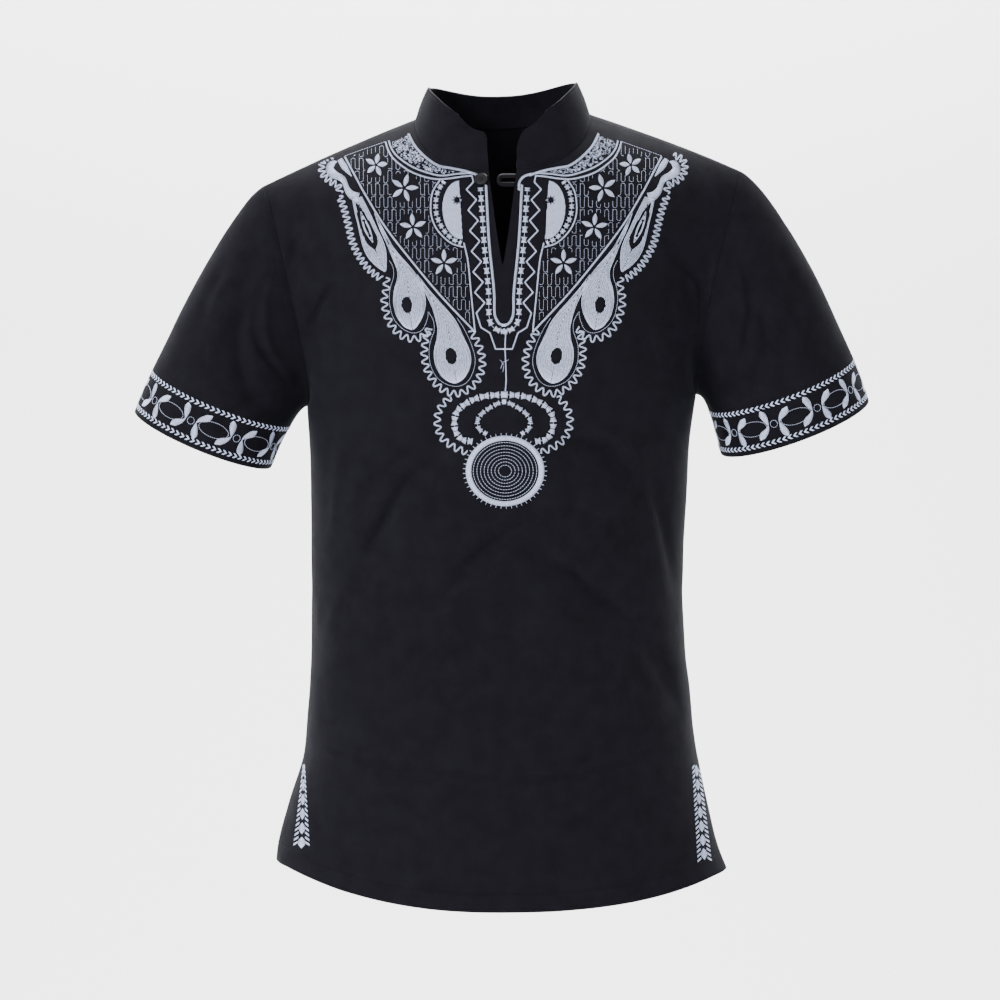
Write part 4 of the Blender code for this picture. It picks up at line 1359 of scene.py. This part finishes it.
def stitch_row(work, row, number):
    """Cuts a row of close points into long stitches, staggered from row to row."""
    if len(row) < 3:
        return
    first = (number * 3) % FILL_STEPS
    cuts = [0, *range(first or FILL_STEPS, len(row) - 3, FILL_STEPS), len(row) - 1]
    for start, end in zip(cuts, cuts[1:]):
        if end > start:
            # Some threads lie looser than others, and the cloth shades the gaps between them.
            pull = abs(math.sin(number * FILL_ROW_TURN + start * FILL_STITCH_TURN))
            width = FILL_WIDTH * (1 - FILL_LOOSE + FILL_LOOSE * pull)
            work.add(row[start : end + 1], width, THREAD_HEIGHT)


def inside(points, outline):
    """Whether each point lies inside the outline."""
    outline = np.asarray(outline)
    found = np.zeros(len(points), bool)
    for start, end in zip(outline, np.roll(outline, -1, axis=0)):
        cross = (start[1] > points[:, 1]) != (end[1] > points[:, 1])
        rise = end[1] - start[1]
        if rise:
            reach = start[0] + (points[:, 1] - start[1]) / rise * (end[0] - start[0])
            found ^= cross & (points[:, 0] < reach)
    return found


def petal_star(work, centre, radius, turn):
    """A star of satin petals, turned by turn degrees."""
    for number in range(STAR_PETALS):
        angle = math.radians(turn + 360 * number / STAR_PETALS)
        way = np.array([math.cos(angle), math.sin(angle)])
        spine = [
            (*(np.array(centre) + way * radius * share), STAR_PETAL_HALF * wide)
            for share, wide in STAR_PETAL
        ]
        spine_satin(work, spine)


def wander(work, area, gaps):
    """Thin thread that wanders up and down in rows to fill an area round its gaps."""
    area = np.array(area)
    low, high = area.min(axis=0), area.max(axis=0)
    stitches = Stitches()
    row = 0
    level = high[1]
    while level > low[1] - WANDER_ROW:
        left = low[0] + (row % 2) * WANDER_STROKE
        count = int((high[0] - left) / WANDER_STROKE) + 1
        corners = []
        for number in range(count):
            x = left + number * WANDER_STROKE
            jog = WANDER_JOG * noise.noise(Vector((x * 0.21, level * 0.17, 3.1)))
            top, foot = level - WANDER_TOP + jog, level - WANDER_SWING + jog
            first, last = (top, foot) if number % 2 else (foot, top)
            corner = np.sign(last - first) * WANDER_CORNER
            corners += [(x, first + corner), (x, last - corner), (x + WANDER_STROKE / 2, last)]
        running_line(stitches, corners, *WANDER_RUN)
        if row % 2:
            for number in range(0, count, WANDER_JOIN):
                x = left + (number + WANDER_JOIN / 2) * WANDER_STROKE
                running_line(stitches, [(x, level), (x, level - WANDER_ROW)], *WANDER_RUN)
        level -= WANDER_ROW
        row += 1
    middles = np.array([stitch[0].mean(axis=0) for stitch in stitches.rows])
    keep = inside(middles, area)
    for gap in gaps:
        keep &= ~inside(middles, gap)
    work.rows += [stitch for stitch, wanted in zip(stitches.rows, keep) if wanted]


def loops(work, area, count):
    """Fine looping stitches scattered over an area."""
    area = np.array(area)
    low, high = area.min(axis=0), area.max(axis=0)
    draw = np.random.default_rng(5)
    spots = low + draw.random((count * 5, 2)) * (high - low)
    spots = spots[inside(spots, area)][:count]
    for number, spot in enumerate(spots):
        turn = draw.random() * math.tau
        way = np.array([math.cos(turn), math.sin(turn)])
        side = np.array([-way[1], way[0]])
        bow = LOOP_BOW if number % 2 else -LOOP_BOW
        work.add([spot - way, spot + side * bow, spot + way], LOOP_WIDTH, FINE_HEIGHT)


def flipped(points, side):
    """Pattern points moved to the other half where side is 1."""
    points = np.array(points, float)
    if side > 0:
        points[..., 0] = PATTERN_MIDDLE + (PATTERN_MIDDLE - points[..., 0]) * PATTERN_LEFT_SCALE
    return points


def flipped_oval(oval, side):
    return (*flipped(oval[:2], side), *oval[2:4], -side * oval[4])


def smooth(points, side):
    """A smooth line through pattern points, on the half that side names."""
    return spline(flipped(points, side), CURVE_STEP)


def sew_borders(work, side):
    """The slit's and neckline's borders, the zigzag and the yoke's straight edges."""
    satin_line(work, smooth(SLIT_LINE, side), SLIT_CORD)
    if side > 0:
        satin_line(work, spline(SLIT_LINE_TURN, CURVE_STEP), NECK_CORD)
    ladder(work, smooth(LADDER, side))
    start, end = np.array(ZIGZAG_RUN)
    teeth = round(np.linalg.norm(end - start) / ZIGZAG_HALF_PERIOD)
    corners = [start + (end - start) * n / teeth for n in range(teeth + 1)]
    corners = [
        spot + [ZIGZAG_SWING if n % 2 else -ZIGZAG_SWING, 0.0] for n, spot in enumerate(corners)
    ]
    zigzag = flipped([*ZIGZAG_HEAD[:2], *corners, *ZIGZAG_FOOT[1:]], side)
    satin_line(work, zigzag, ZIGZAG_CORD)
    satin_line(work, smooth(NECK_LINE, side), NECK_CORD)
    satin_line(work, smooth(NECK_INNER, side), BORDER_CORD)
    satin_line(work, smooth(NECK_OUTER, side), BORDER_CORD)
    loops(work, flipped(NECK_AREA, side), LOOP_COUNT)
    satin_line(work, smooth(YOKE_EDGE, side), YOKE_CORD)
    satin_line(work, smooth(YOKE_INNER, side), SUN_CORD)
    running_line(work, smooth(YOKE_SHOULDER, side), *SHOULDER_RUN)


def sew_sun(work, side):
    """The half sun beside the slit, with its star left out."""
    half = (90.0, 270.0) if side < 0 else (-90.0, 90.0)
    points = np.radians(np.arange(2 * SUN_STAR_POINTS) * 180 / SUN_STAR_POINTS)
    reach = np.where(np.arange(2 * SUN_STAR_POINTS) % 2, *SUN_STAR_RADII)[:, None]
    star = flipped(SUN_STAR, side) + reach * np.stack([np.cos(points), np.sin(points)], 1)
    tatami(work, [oval_of(flipped_oval(SUN_FILL, side), *half), star], SUN_FILL_ANGLE)
    ladder(work, smooth(SUN_LADDER, side), *SUN_BLOCKS)
    satin_line(work, smooth(SUN_LINE, side), SUN_CORD)


def sew_stars(work, side):
    """The petal stars, and the wandering thread that fills the ground round them."""
    stars = flipped(STARS, side)
    gaps = []
    for spot, radius, turn in zip(stars, STAR_RADII, STAR_TURNS):
        petal_star(work, spot, radius, turn if side < 0 else 180 - turn)
        gaps.append(oval_of((*spot, radius + 1, radius + 1, 0)))
    wander(work, flipped(YOKE_AREA, side), gaps)


def sew_paisleys(work, side):
    """The hook, leaf and drops down the yoke's edge."""
    spine_satin(work, flipped_spine(HOOK, side))
    spine_satin(work, flipped_spine(HOOK_SHADE, side))
    outline_rows(work, flipped_spine(LEAF, side), outline_of(flipped_spine(LEAF_HOLE, side)))
    heart = flipped_spine(LEAF_HEART, side)
    core = np.concatenate([heart[1:-1, :2], heart[1:-1, 2:] * LEAF_CORE_SHARE], axis=1)
    outline_rows(work, heart, outline_of(core))
    for drop, hole, line in (
        (DROP_A, DROP_A_HOLE, DROP_A_LINE),
        (DROP_B, DROP_B_HOLE, DROP_B_LINE),
    ):
        outline_rows(work, flipped_spine(drop, side), oval_of(flipped_oval(hole, side))[:-1])
        running_line(work, smooth(line, side), *DROP_RUN)


def sew_yoke_half(work, side):
    sew_borders(work, side)
    sew_sun(work, side)
    sew_stars(work, side)
    sew_paisleys(work, side)
    for path in (SCALLOPS_TOP, SCALLOPS_LEAF):
        scallops(work, smooth(path, side), LEAF_SCALLOP_HALF_PERIOD)
    for path in (SCALLOPS_A, SCALLOPS_B, RING_SCALLOPS):
        scallops(work, smooth(path, side), SCALLOP_HALF_PERIOD)
    ladder(work, smooth(RING_OUTER, side), *RING_OUTER_BLOCKS)
    ladder(work, smooth(RING_INNER, side), *RING_INNER_BLOCKS)


def flipped_spine(spine, side):
    spine = np.array(spine, float)
    return np.concatenate([flipped(spine[:, :2], side), spine[:, 2:]], axis=1)


def target_ways(count):
    """Directions all round the target, shorter up and down than across."""
    turns = np.linspace(0, math.tau, count, endpoint=False)
    return [np.array([math.cos(turn), math.sin(turn) * TARGET_FLATTEN]) for turn in turns]


def sew_target(work):
    """Concentric running stitches in a broad satin ring with short spikes."""
    x, z = TARGET_CENTRE
    for number in range(TARGET_RINGS):
        radius = TARGET_FIRST + TARGET_STEP * number
        circle = oval_of((x, z, radius, radius * TARGET_FLATTEN, 0.0))
        running_line(work, circle, *TARGET_RUN)
    outer, inner = TARGET_RING
    middle = np.array([x, z])
    for way in target_ways(round(math.tau * outer / THREAD_PITCH)):
        work.add([middle + way * inner, middle + way * (inner + outer) / 2, middle + way * outer])
    for way in target_ways(round(math.tau * outer / SPIKE_PITCH)):
        spike = [middle + way * outer, middle + way * (outer + SPIKE_LENGTH)]
        work.add(spike, *SPIKE_THREAD)


def sew_vent(work, side):
    """A narrow strip of slanted grains that widens downward beside the vent."""
    top, bottom, narrow, wide = VENT_STRIPS[side]
    top, bottom = np.array(top), np.array(bottom)
    length = np.linalg.norm(bottom - top)
    count = round(length / VENT_GRAIN_PITCH)
    down = (bottom - top) / length
    out = np.array([-down[1], down[0]])
    for number in range(count + 1):
        share = number / count
        spot = top + (bottom - top) * share
        half = (narrow + (wide - narrow) * share) / 2
        for way in (-1, 1):
            for thread in (-1, 0, 1):
                shift = down * thread * GRAIN_THREAD_GAP
                inner = spot + out * way * half * GRAIN_START + shift
                outer = spot + out * way * half + shift + down * VENT_GRAIN_PITCH * GRAIN_DROP
                work.add([inner, outer], *GRAIN_THREAD)
        if number % 3 == 1:
            heart = [
                (*(spot + down * VENT_GRAIN_PITCH * step), max(HEART_TIP, half * wide))
                for step, wide in VENT_HEART
            ]
            spine_satin(work, heart)


def sew_cuff(work, around, side):
    """A band round the cuff: rows of wheat, with ovals, small rings and curved leaves."""
    repeats = round(around / CUFF_REPEAT)
    length = around / repeats
    for level in CUFF_WHEAT_LEVELS:
        count = round(around / WHEAT_PITCH)
        for number in range(count):
            spot = np.array([around * number / count, level])
            for way in (-1, 1):
                for thread in range(3):
                    shift = np.array([thread * GRAIN_THREAD_GAP, 0.0])
                    reach = np.array([WHEAT_REACH, way * WHEAT_RISE])
                    work.add([spot + shift, spot + shift + reach], *WHEAT_THREAD)
    for number in range(repeats):
        x, z = CUFF_PHASE[side] + length * number, CUFF_MIDDLE_LEVEL
        running_line(work, oval_of((x + length / 2, z, *CUFF_OVAL, 0.0)), *CUFF_RUN)
        running_line(work, oval_of((x, z, CUFF_RING, CUFF_RING, 0.0)), *CUFF_RUN)
        for way in (-1, 1):
            for leaf in (CUFF_NEAR_LEAF, CUFF_FAR_LEAF):
                spine = [(x + side * way * along, z + way * up, half) for along, up, half in leaf]
                spine_satin(work, spine)


class SightPlane:
    """Lays pattern points on a sheet along the lines of sight from the camera."""

    def __init__(self, sheet):
        self.tree = BVHTree.FromPolygons(sheet.points.tolist(), sheet.faces.tolist())
        back = Vector((0.0, -math.cos(CAMERA_ELEVATION), math.sin(CAMERA_ELEVATION)))
        self.eye = Vector(CAMERA_TARGET) + back * CAMERA_DISTANCE

    def place(self, flat):
        spots = np.zeros((*flat.shape[:2], 3))
        normals = np.zeros_like(spots)
        found = np.ones(flat.shape[:2], bool)
        for index in np.ndindex(flat.shape[:2]):
            x, z = flat[index]
            toward = Vector((x, PATTERN_PLANE_Y, z)) - self.eye
            hit, normal, _, _ = self.tree.ray_cast(self.eye, toward.normalized())
            if hit is None:
                found[index] = False
                continue
            spots[index] = hit
            normals[index] = normal if normal.dot(toward) < 0 else -normal
        return spots, normals, found.all(axis=1)


class EdgeBand:
    """Lays (length along an edge, length up from it) points on a sheet's grid."""

    def __init__(self, spots, normals, closed, reach=BAND_REACH):
        if closed:
            spots = np.concatenate([spots, spots[:, :1]], axis=1)
            normals = np.concatenate([normals, normals[:, :1]], axis=1)
        steps = np.linalg.norm(np.diff(spots, axis=0), axis=2)
        rise = np.concatenate([np.zeros((1, spots.shape[1])), np.cumsum(steps, axis=0)])
        levels = np.arange(0, reach, 1.0)
        self.spots = np.zeros((len(levels), spots.shape[1], 3))
        self.normals = np.zeros_like(self.spots)
        for column in range(spots.shape[1]):
            for axis in range(3):
                self.spots[:, column, axis] = np.interp(
                    levels, rise[:, column], spots[:, column, axis]
                )
                self.normals[:, column, axis] = np.interp(
                    levels, rise[:, column], normals[:, column, axis]
                )
        self.run = run_of(spots[0])
        self.length = self.run[-1]
        self.closed = closed

    def place(self, flat):
        along, up = flat[..., 0], np.clip(flat[..., 1], 0, len(self.spots) - 1.001)
        if self.closed:
            along = along % self.length
        column = np.interp(along, self.run, np.arange(len(self.run)))
        column = np.clip(column, 0, len(self.run) - 1.001)
        low_c, low_r = column.astype(int), up.astype(int)
        c, r = (column - low_c)[..., None], (up - low_r)[..., None]
        found = []
        for grid in (self.spots, self.normals):
            lower = grid[low_r, low_c] * (1 - c) + grid[low_r, low_c + 1] * c
            upper = grid[low_r + 1, low_c] * (1 - c) + grid[low_r + 1, low_c + 1] * c
            found.append(lower * (1 - r) + upper * r)
        return found[0], unit(found[1]), np.ones(flat.shape[0], bool)


def lay_stitches(name, work, carrier, material):
    """Makes one mesh of all the stitches: each a small closed ridge sunk at its ends."""
    groups = {}
    for points, width, height in work.rows:
        length = np.sum(np.linalg.norm(np.diff(points, axis=0), axis=1))
        count = int(np.clip(math.ceil(length / SECTION_LENGTH) + 1, 2, MOST_SECTIONS))
        if len(points) != count:
            count = max(count, min(len(points), MOST_SECTIONS))
            run = run_of(points)
            points = points_at(points, run, np.linspace(0, run[-1], count))
        groups.setdefault(count, []).append((points, width, height))
    all_points, all_faces, offset = [], [], 0
    for count, stitches in sorted(groups.items()):
        flat = np.array([stitch[0] for stitch in stitches])
        spots, normals, found = carrier.place(flat)
        spots, normals = spots[found], normals[found]
        width = np.array([stitch[1] for stitch in stitches])[found][:, None, None]
        height = np.array([stitch[2] for stitch in stitches])[found][:, None, None]
        if not len(spots):
            continue
        along = unit(np.gradient(spots, axis=1))
        side = unit(np.cross(normals, along))
        swell = np.ones(count)
        swell[0] = swell[-1] = THREAD_END_SWELL
        swell = swell[None, :, None]
        left = spots + side * width / 2 * swell + normals * (THREAD_LIFT - THREAD_SINK)
        right = spots - side * width / 2 * swell + normals * (THREAD_LIFT - THREAD_SINK)
        crest = spots + normals * (THREAD_LIFT + height * swell)
        rings = np.stack([left, crest, right], axis=2).reshape(len(spots), 3 * count, 3)
        tip = along * THREAD_TIP * width - normals * THREAD_SINK
        tips = np.stack([spots[:, 0] - tip[:, 0], spots[:, -1] + tip[:, -1]], axis=1)
        tips -= np.stack([normals[:, 0], normals[:, -1]], axis=1) * THREAD_SINK
        points = np.concatenate([rings, tips], axis=1)
        pattern = []
        for section in range(count - 1):
            a, b = 3 * section, 3 * section + 3
            pattern += [(a, a + 1, b + 1, b), (a + 1, a + 2, b + 2, b + 1), (a + 2, a, b, b + 2)]
        first, last, end = 3 * count, 3 * count + 1, 3 * count - 3
        pattern += [(first, 1, 0), (first, 2, 1), (first, 0, 2)]
        pattern += [(last, end, end + 1), (last, end + 1, end + 2), (last, end + 2, end)]
        for number in range(len(points)):
            base = offset + number * (3 * count + 2)
            all_faces += [tuple(base + spot for spot in face) for face in pattern]
        all_points.append(points.reshape(-1, 3))
        offset += len(points) * (3 * count + 2)
    mesh = mesh_of(name, np.concatenate(all_points), all_faces, material)
    shape = linked(name, mesh)
    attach(shape, "root")
    return shape


def node_at(tree, kind, **values):
    """A shader node with its inputs set by name."""
    node = tree.nodes.new(kind)
    for name, value in values.items():
        node.inputs[name.replace("_", " ")].default_value = value
    return node


def bare_material(name, colour, roughness, **sockets):
    material = bpy.data.materials.new(name)
    material.use_nodes = True
    shader = material.node_tree.nodes["Principled BSDF"]
    shader.inputs["Base Color"].default_value = colour
    shader.inputs["Roughness"].default_value = roughness
    for socket, value in sockets.items():
        shader.inputs[socket.replace("_", " ")].default_value = value
    return material, material.node_tree, shader


def ranged(tree, value, low, high):
    """A 0 to 1 value spread between low and high."""
    node = tree.nodes.new("ShaderNodeMapRange")
    tree.links.new(value, node.inputs["Value"])
    node.inputs["To Min"].default_value = low
    node.inputs["To Max"].default_value = high
    return node.outputs["Result"]


def maths(tree, operation, first, second=None):
    node = tree.nodes.new("ShaderNodeMath")
    node.operation = operation
    for number, value in enumerate((first, second)):
        if isinstance(value, (int, float)):
            node.inputs[number].default_value = value
        elif value is not None:
            tree.links.new(value, node.inputs[number])
    return node.outputs[0]


def object_noise(tree, scale, detail, **values):
    """Noise in the object's own space."""
    place = tree.nodes.new("ShaderNodeTexCoord")
    patch = node_at(tree, "ShaderNodeTexNoise", Scale=scale, Detail=detail, **values)
    tree.links.new(place.outputs["Object"], patch.inputs["Vector"])
    return patch.outputs[0]


def shade_colour(tree, shader, colour, shade):
    """Makes the base colour lighter and darker by a value."""
    mix = tree.nodes.new("ShaderNodeVectorMath")
    mix.operation = "SCALE"
    mix.inputs[0].default_value = colour
    tree.links.new(shade, mix.inputs["Scale"])
    tree.links.new(mix.outputs[0], shader.inputs["Base Color"])


def add_bump(tree, shader, height, strength, distance):
    bump = node_at(tree, "ShaderNodeBump", Strength=strength, Distance=distance)
    tree.links.new(height, bump.inputs["Height"])
    tree.links.new(bump.outputs[0], shader.inputs["Normal"])


def cotton_material():
    """Plain-woven black cotton: threads over and under, slubs, and a faint dusty mottle."""
    material, tree, shader = bare_material(
        "black cotton weave",
        (0.012, 0.012, 0.015, 1.0),
        0.88,
        Specular_IOR_Level=0.05,
        Sheen_Weight=0.02,
        Sheen_Roughness=0.45,
    )
    shader.inputs["Sheen Tint"].default_value = (0.75, 0.8, 1.0, 1.0)
    place = tree.nodes.new("ShaderNodeTexCoord")
    apart = tree.nodes.new("ShaderNodeSeparateXYZ")
    tree.links.new(place.outputs["UV"], apart.inputs[0])
    turns = math.pi / WEAVE_PITCH
    warp = maths(tree, "SINE", maths(tree, "MULTIPLY", apart.outputs["X"], turns))
    weft = maths(tree, "SINE", maths(tree, "MULTIPLY", apart.outputs["Y"], turns))
    over = maths(tree, "MULTIPLY", warp, weft)
    slub = node_at(tree, "ShaderNodeTexNoise", Scale=1.0, Detail=3.0)
    stretched = node_at(tree, "ShaderNodeMapping", Scale=SLUB_SCALE)
    tree.links.new(place.outputs["UV"], stretched.inputs["Vector"])
    tree.links.new(stretched.outputs[0], slub.inputs["Vector"])
    mottle = object_noise(tree, MOTTLE_SCALE, 5.0, Roughness=0.6)
    dust, uneven = ranged(tree, mottle, 0.55, 1.5), ranged(tree, slub.outputs[0], 0.75, 1.25)
    shade_colour(tree, shader, COTTON_COLOUR, maths(tree, "MULTIPLY", dust, uneven))
    tree.links.new(ranged(tree, mottle, 0.9, 0.72), shader.inputs["Roughness"])
    height = maths(tree, "ADD", over, maths(tree, "MULTIPLY", slub.outputs[0], 1.6))
    add_bump(tree, shader, height, 0.35, 0.00012)
    return material


def thread_material(name, colour, spread, shine, sheen):
    """Glossy twisted thread. Noise patches make it lighter and darker from stitch to stitch: partly
    uneven tone, partly painted highlight and shade standing in for the satin's sheen.
    """
    material, tree, shader = bare_material(
        name, (*colour, 1.0), 0.42, Specular_IOR_Level=shine, Sheen_Weight=sheen
    )
    # Painted highlight and shade: the noise lightens and darkens the colour in patches, standing in
    # for the satin's sheen, together with uneven tone.
    patch = object_noise(tree, THREAD_SHEEN_AND_TONE_SCALE, 4.0)
    shade_colour(tree, shader, colour, ranged(tree, patch, 1 - spread, 1 + spread))
    add_bump(tree, shader, object_noise(tree, THREAD_TWIST_SCALE, 2.0), 0.3, 0.00008)
    return material


def button_material():
    """Worn black resin with a satin shine."""
    material, tree, shader = bare_material(
        "black button resin", (0.005, 0.005, 0.006, 1.0), 0.28, Specular_IOR_Level=0.35
    )
    wear = object_noise(tree, BUTTON_WEAR_SCALE, 4.0)
    tree.links.new(ranged(tree, wear, 0.2, 0.42), shader.inputs["Roughness"])
    return material


def add_camera():
    lens = bpy.data.cameras.new("camera")
    lens.sensor_width = SENSOR_MM
    lens.lens = LENS_MM
    lens.clip_end = 100.0
    camera = linked("camera", lens)
    back = Vector((0.0, -math.cos(CAMERA_ELEVATION), math.sin(CAMERA_ELEVATION)))
    camera.location = (Vector(CAMERA_TARGET) + back * CAMERA_DISTANCE) * MM
    camera.rotation_euler = (-back).to_track_quat("-Z", "Y").to_euler()
    bpy.context.scene.camera = camera


def add_stage():
    """A pale floor and backdrop in one swept sheet, well behind the shirt."""
    pale = (STAGE_SHADE, STAGE_SHADE, STAGE_SHADE, 1.0)
    material, _, _ = bare_material("pale studio paper", pale, 0.9, Specular_IOR_Level=0.1)
    profile = [(-STAGE_NEAR, STAGE_FLOOR)]
    for step in range(STAGE_SWEEP_STEPS + 1):
        turn = math.pi / 2 * step / STAGE_SWEEP_STEPS
        profile.append(
            (
                STAGE_BACK - STAGE_SWEEP + STAGE_SWEEP * math.sin(turn),
                STAGE_FLOOR + STAGE_SWEEP - STAGE_SWEEP * math.cos(turn),
            )
        )
    profile.append((STAGE_BACK, STAGE_TOP))
    points = [(x * 1000, y * 1000, z * 1000) for y, z in profile for x in (-STAGE_HALF, STAGE_HALF)]
    faces = [
        (2 * row, 2 * row + 1, 2 * row + 3, 2 * row + 2) for row in range(len(profile) - 1)
    ]
    mesh = mesh_of("studio_sweep", points, faces, material)
    stage = linked("studio_sweep", mesh)
    world = bpy.data.worlds.new("studio")
    world.use_nodes = True
    world.node_tree.nodes["Background"].inputs["Color"].default_value = WORLD_COLOUR
    world.node_tree.nodes["Background"].inputs["Strength"].default_value = WORLD_STRENGTH
    bpy.context.scene.world = world


def add_lights():
    for name, place, target, size, power in LIGHTS:
        lamp = bpy.data.lights.new(name, "AREA")
        lamp.shape = "RECTANGLE"
        lamp.size, lamp.size_y = size
        lamp.energy = power
        light = linked(name, lamp)
        light.location = place
        toward = Vector(target) - Vector(place)
        light.rotation_euler = toward.to_track_quat("-Z", "Y").to_euler()


def sew_edge(name, sheet, rows, closed, level, material):
    """One line of black running stitch at a level from an edge of the sheet."""
    band = EdgeBand(sheet.points[rows], sheet.normals[rows], closed)
    work = Stitches()
    path = [(0.0, level), (band.length - SEW_GAP, level)]
    running_line(work, path, SEW_STITCH, SEW_GAP, SEW_WIDTH, SEW_HEIGHT)
    lay_stitches(name, work, band, material)


def sew_all(front, back, sleeves, neck, thread, black_thread):
    """All the embroidery in pale thread, and the plain sewing in black."""
    sight = SightPlane(front)
    for side, word in ((-1, "right"), (1, "left")):
        half = Stitches()
        sew_yoke_half(half, side)
        sew_vent(half, side)
        lay_stitches(f"front_embroidery_{word}", half, sight, thread)
    middle = Stitches()
    satin_line(middle, STEM, STEM_CORD)
    running_line(middle, STEM_KNOT_A, *KNOT_RUN)
    running_line(middle, STEM_KNOT_B, *KNOT_RUN)
    sew_target(middle)
    lay_stitches("front_embroidery_middle", middle, sight, thread)
    for side, sheet in sleeves.items():
        order = sheet.index[::-1]
        band = EdgeBand(sheet.points[order], sheet.normals[order], True)
        work = Stitches()
        sew_cuff(work, band.length, side)
        lay_stitches(f"{sheet.name}_embroidery", work, band, thread)
        sew_edge(f"{sheet.name}_armhole_seam", sheet, sheet.index, True, EDGE_STITCH, black_thread)
    for sheet in (front, back):
        for side, word in ((-1, "right"), (1, "left")):
            rows = sheet.index[side][:HEM_BAND_ROWS]
            name = f"{sheet.name}_hem_seam_{word}"
            sew_edge(name, sheet, rows, False, HEM_STITCH_RISE, black_thread)
    sew_edge("collar_top_seam", neck, neck.index[::-1], False, EDGE_STITCH, black_thread)
    sew_edge("collar_base_seam", neck, neck.index, False, EDGE_STITCH, black_thread)


def main():
    add_camera()
    add_stage()
    add_lights()
    cotton = cotton_material()
    front = panel("front_panel", -1)
    back = panel("back_panel", 1)
    sleeves = {
        side: sleeve(name, side, armhole_loop(front, back, side))
        for name, side in (("sleeve_right", -1), ("sleeve_left", 1))
    }
    neck = collar(front, back)
    share_seam_normals([front, back], [*sleeves.values(), neck])
    for sheet in (front, back, *sleeves.values(), neck):
        halves = isinstance(sheet.index, dict)
        grids = sheet.index.values() if halves else [sheet.index]
        cloth = fine_wall(sheet.name + "_cloth", sheet, sheet_map(sheet, grids), cotton)
        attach(cloth, "root")
        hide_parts(sheet.name)
        width, length, area = CUT_SIZES[sheet.name]
    thread = thread_material("pale thread", THREAD_COLOUR, 0.3, 0.4, 0.08)
    black_thread = thread_material("black thread", BLACK_THREAD_COLOUR, 0.2, 0.06, 0.0)
    sew_all(front, back, sleeves, neck, thread, black_thread)
    cord = thread_material("black cord", CORD_COLOUR, 0.3, 0.08, 0.0)
    for name, material in (("button", button_material()), ("button_loop", cord)):
        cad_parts[name].data.materials.clear()
        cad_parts[name].data.materials.append(material)


main()
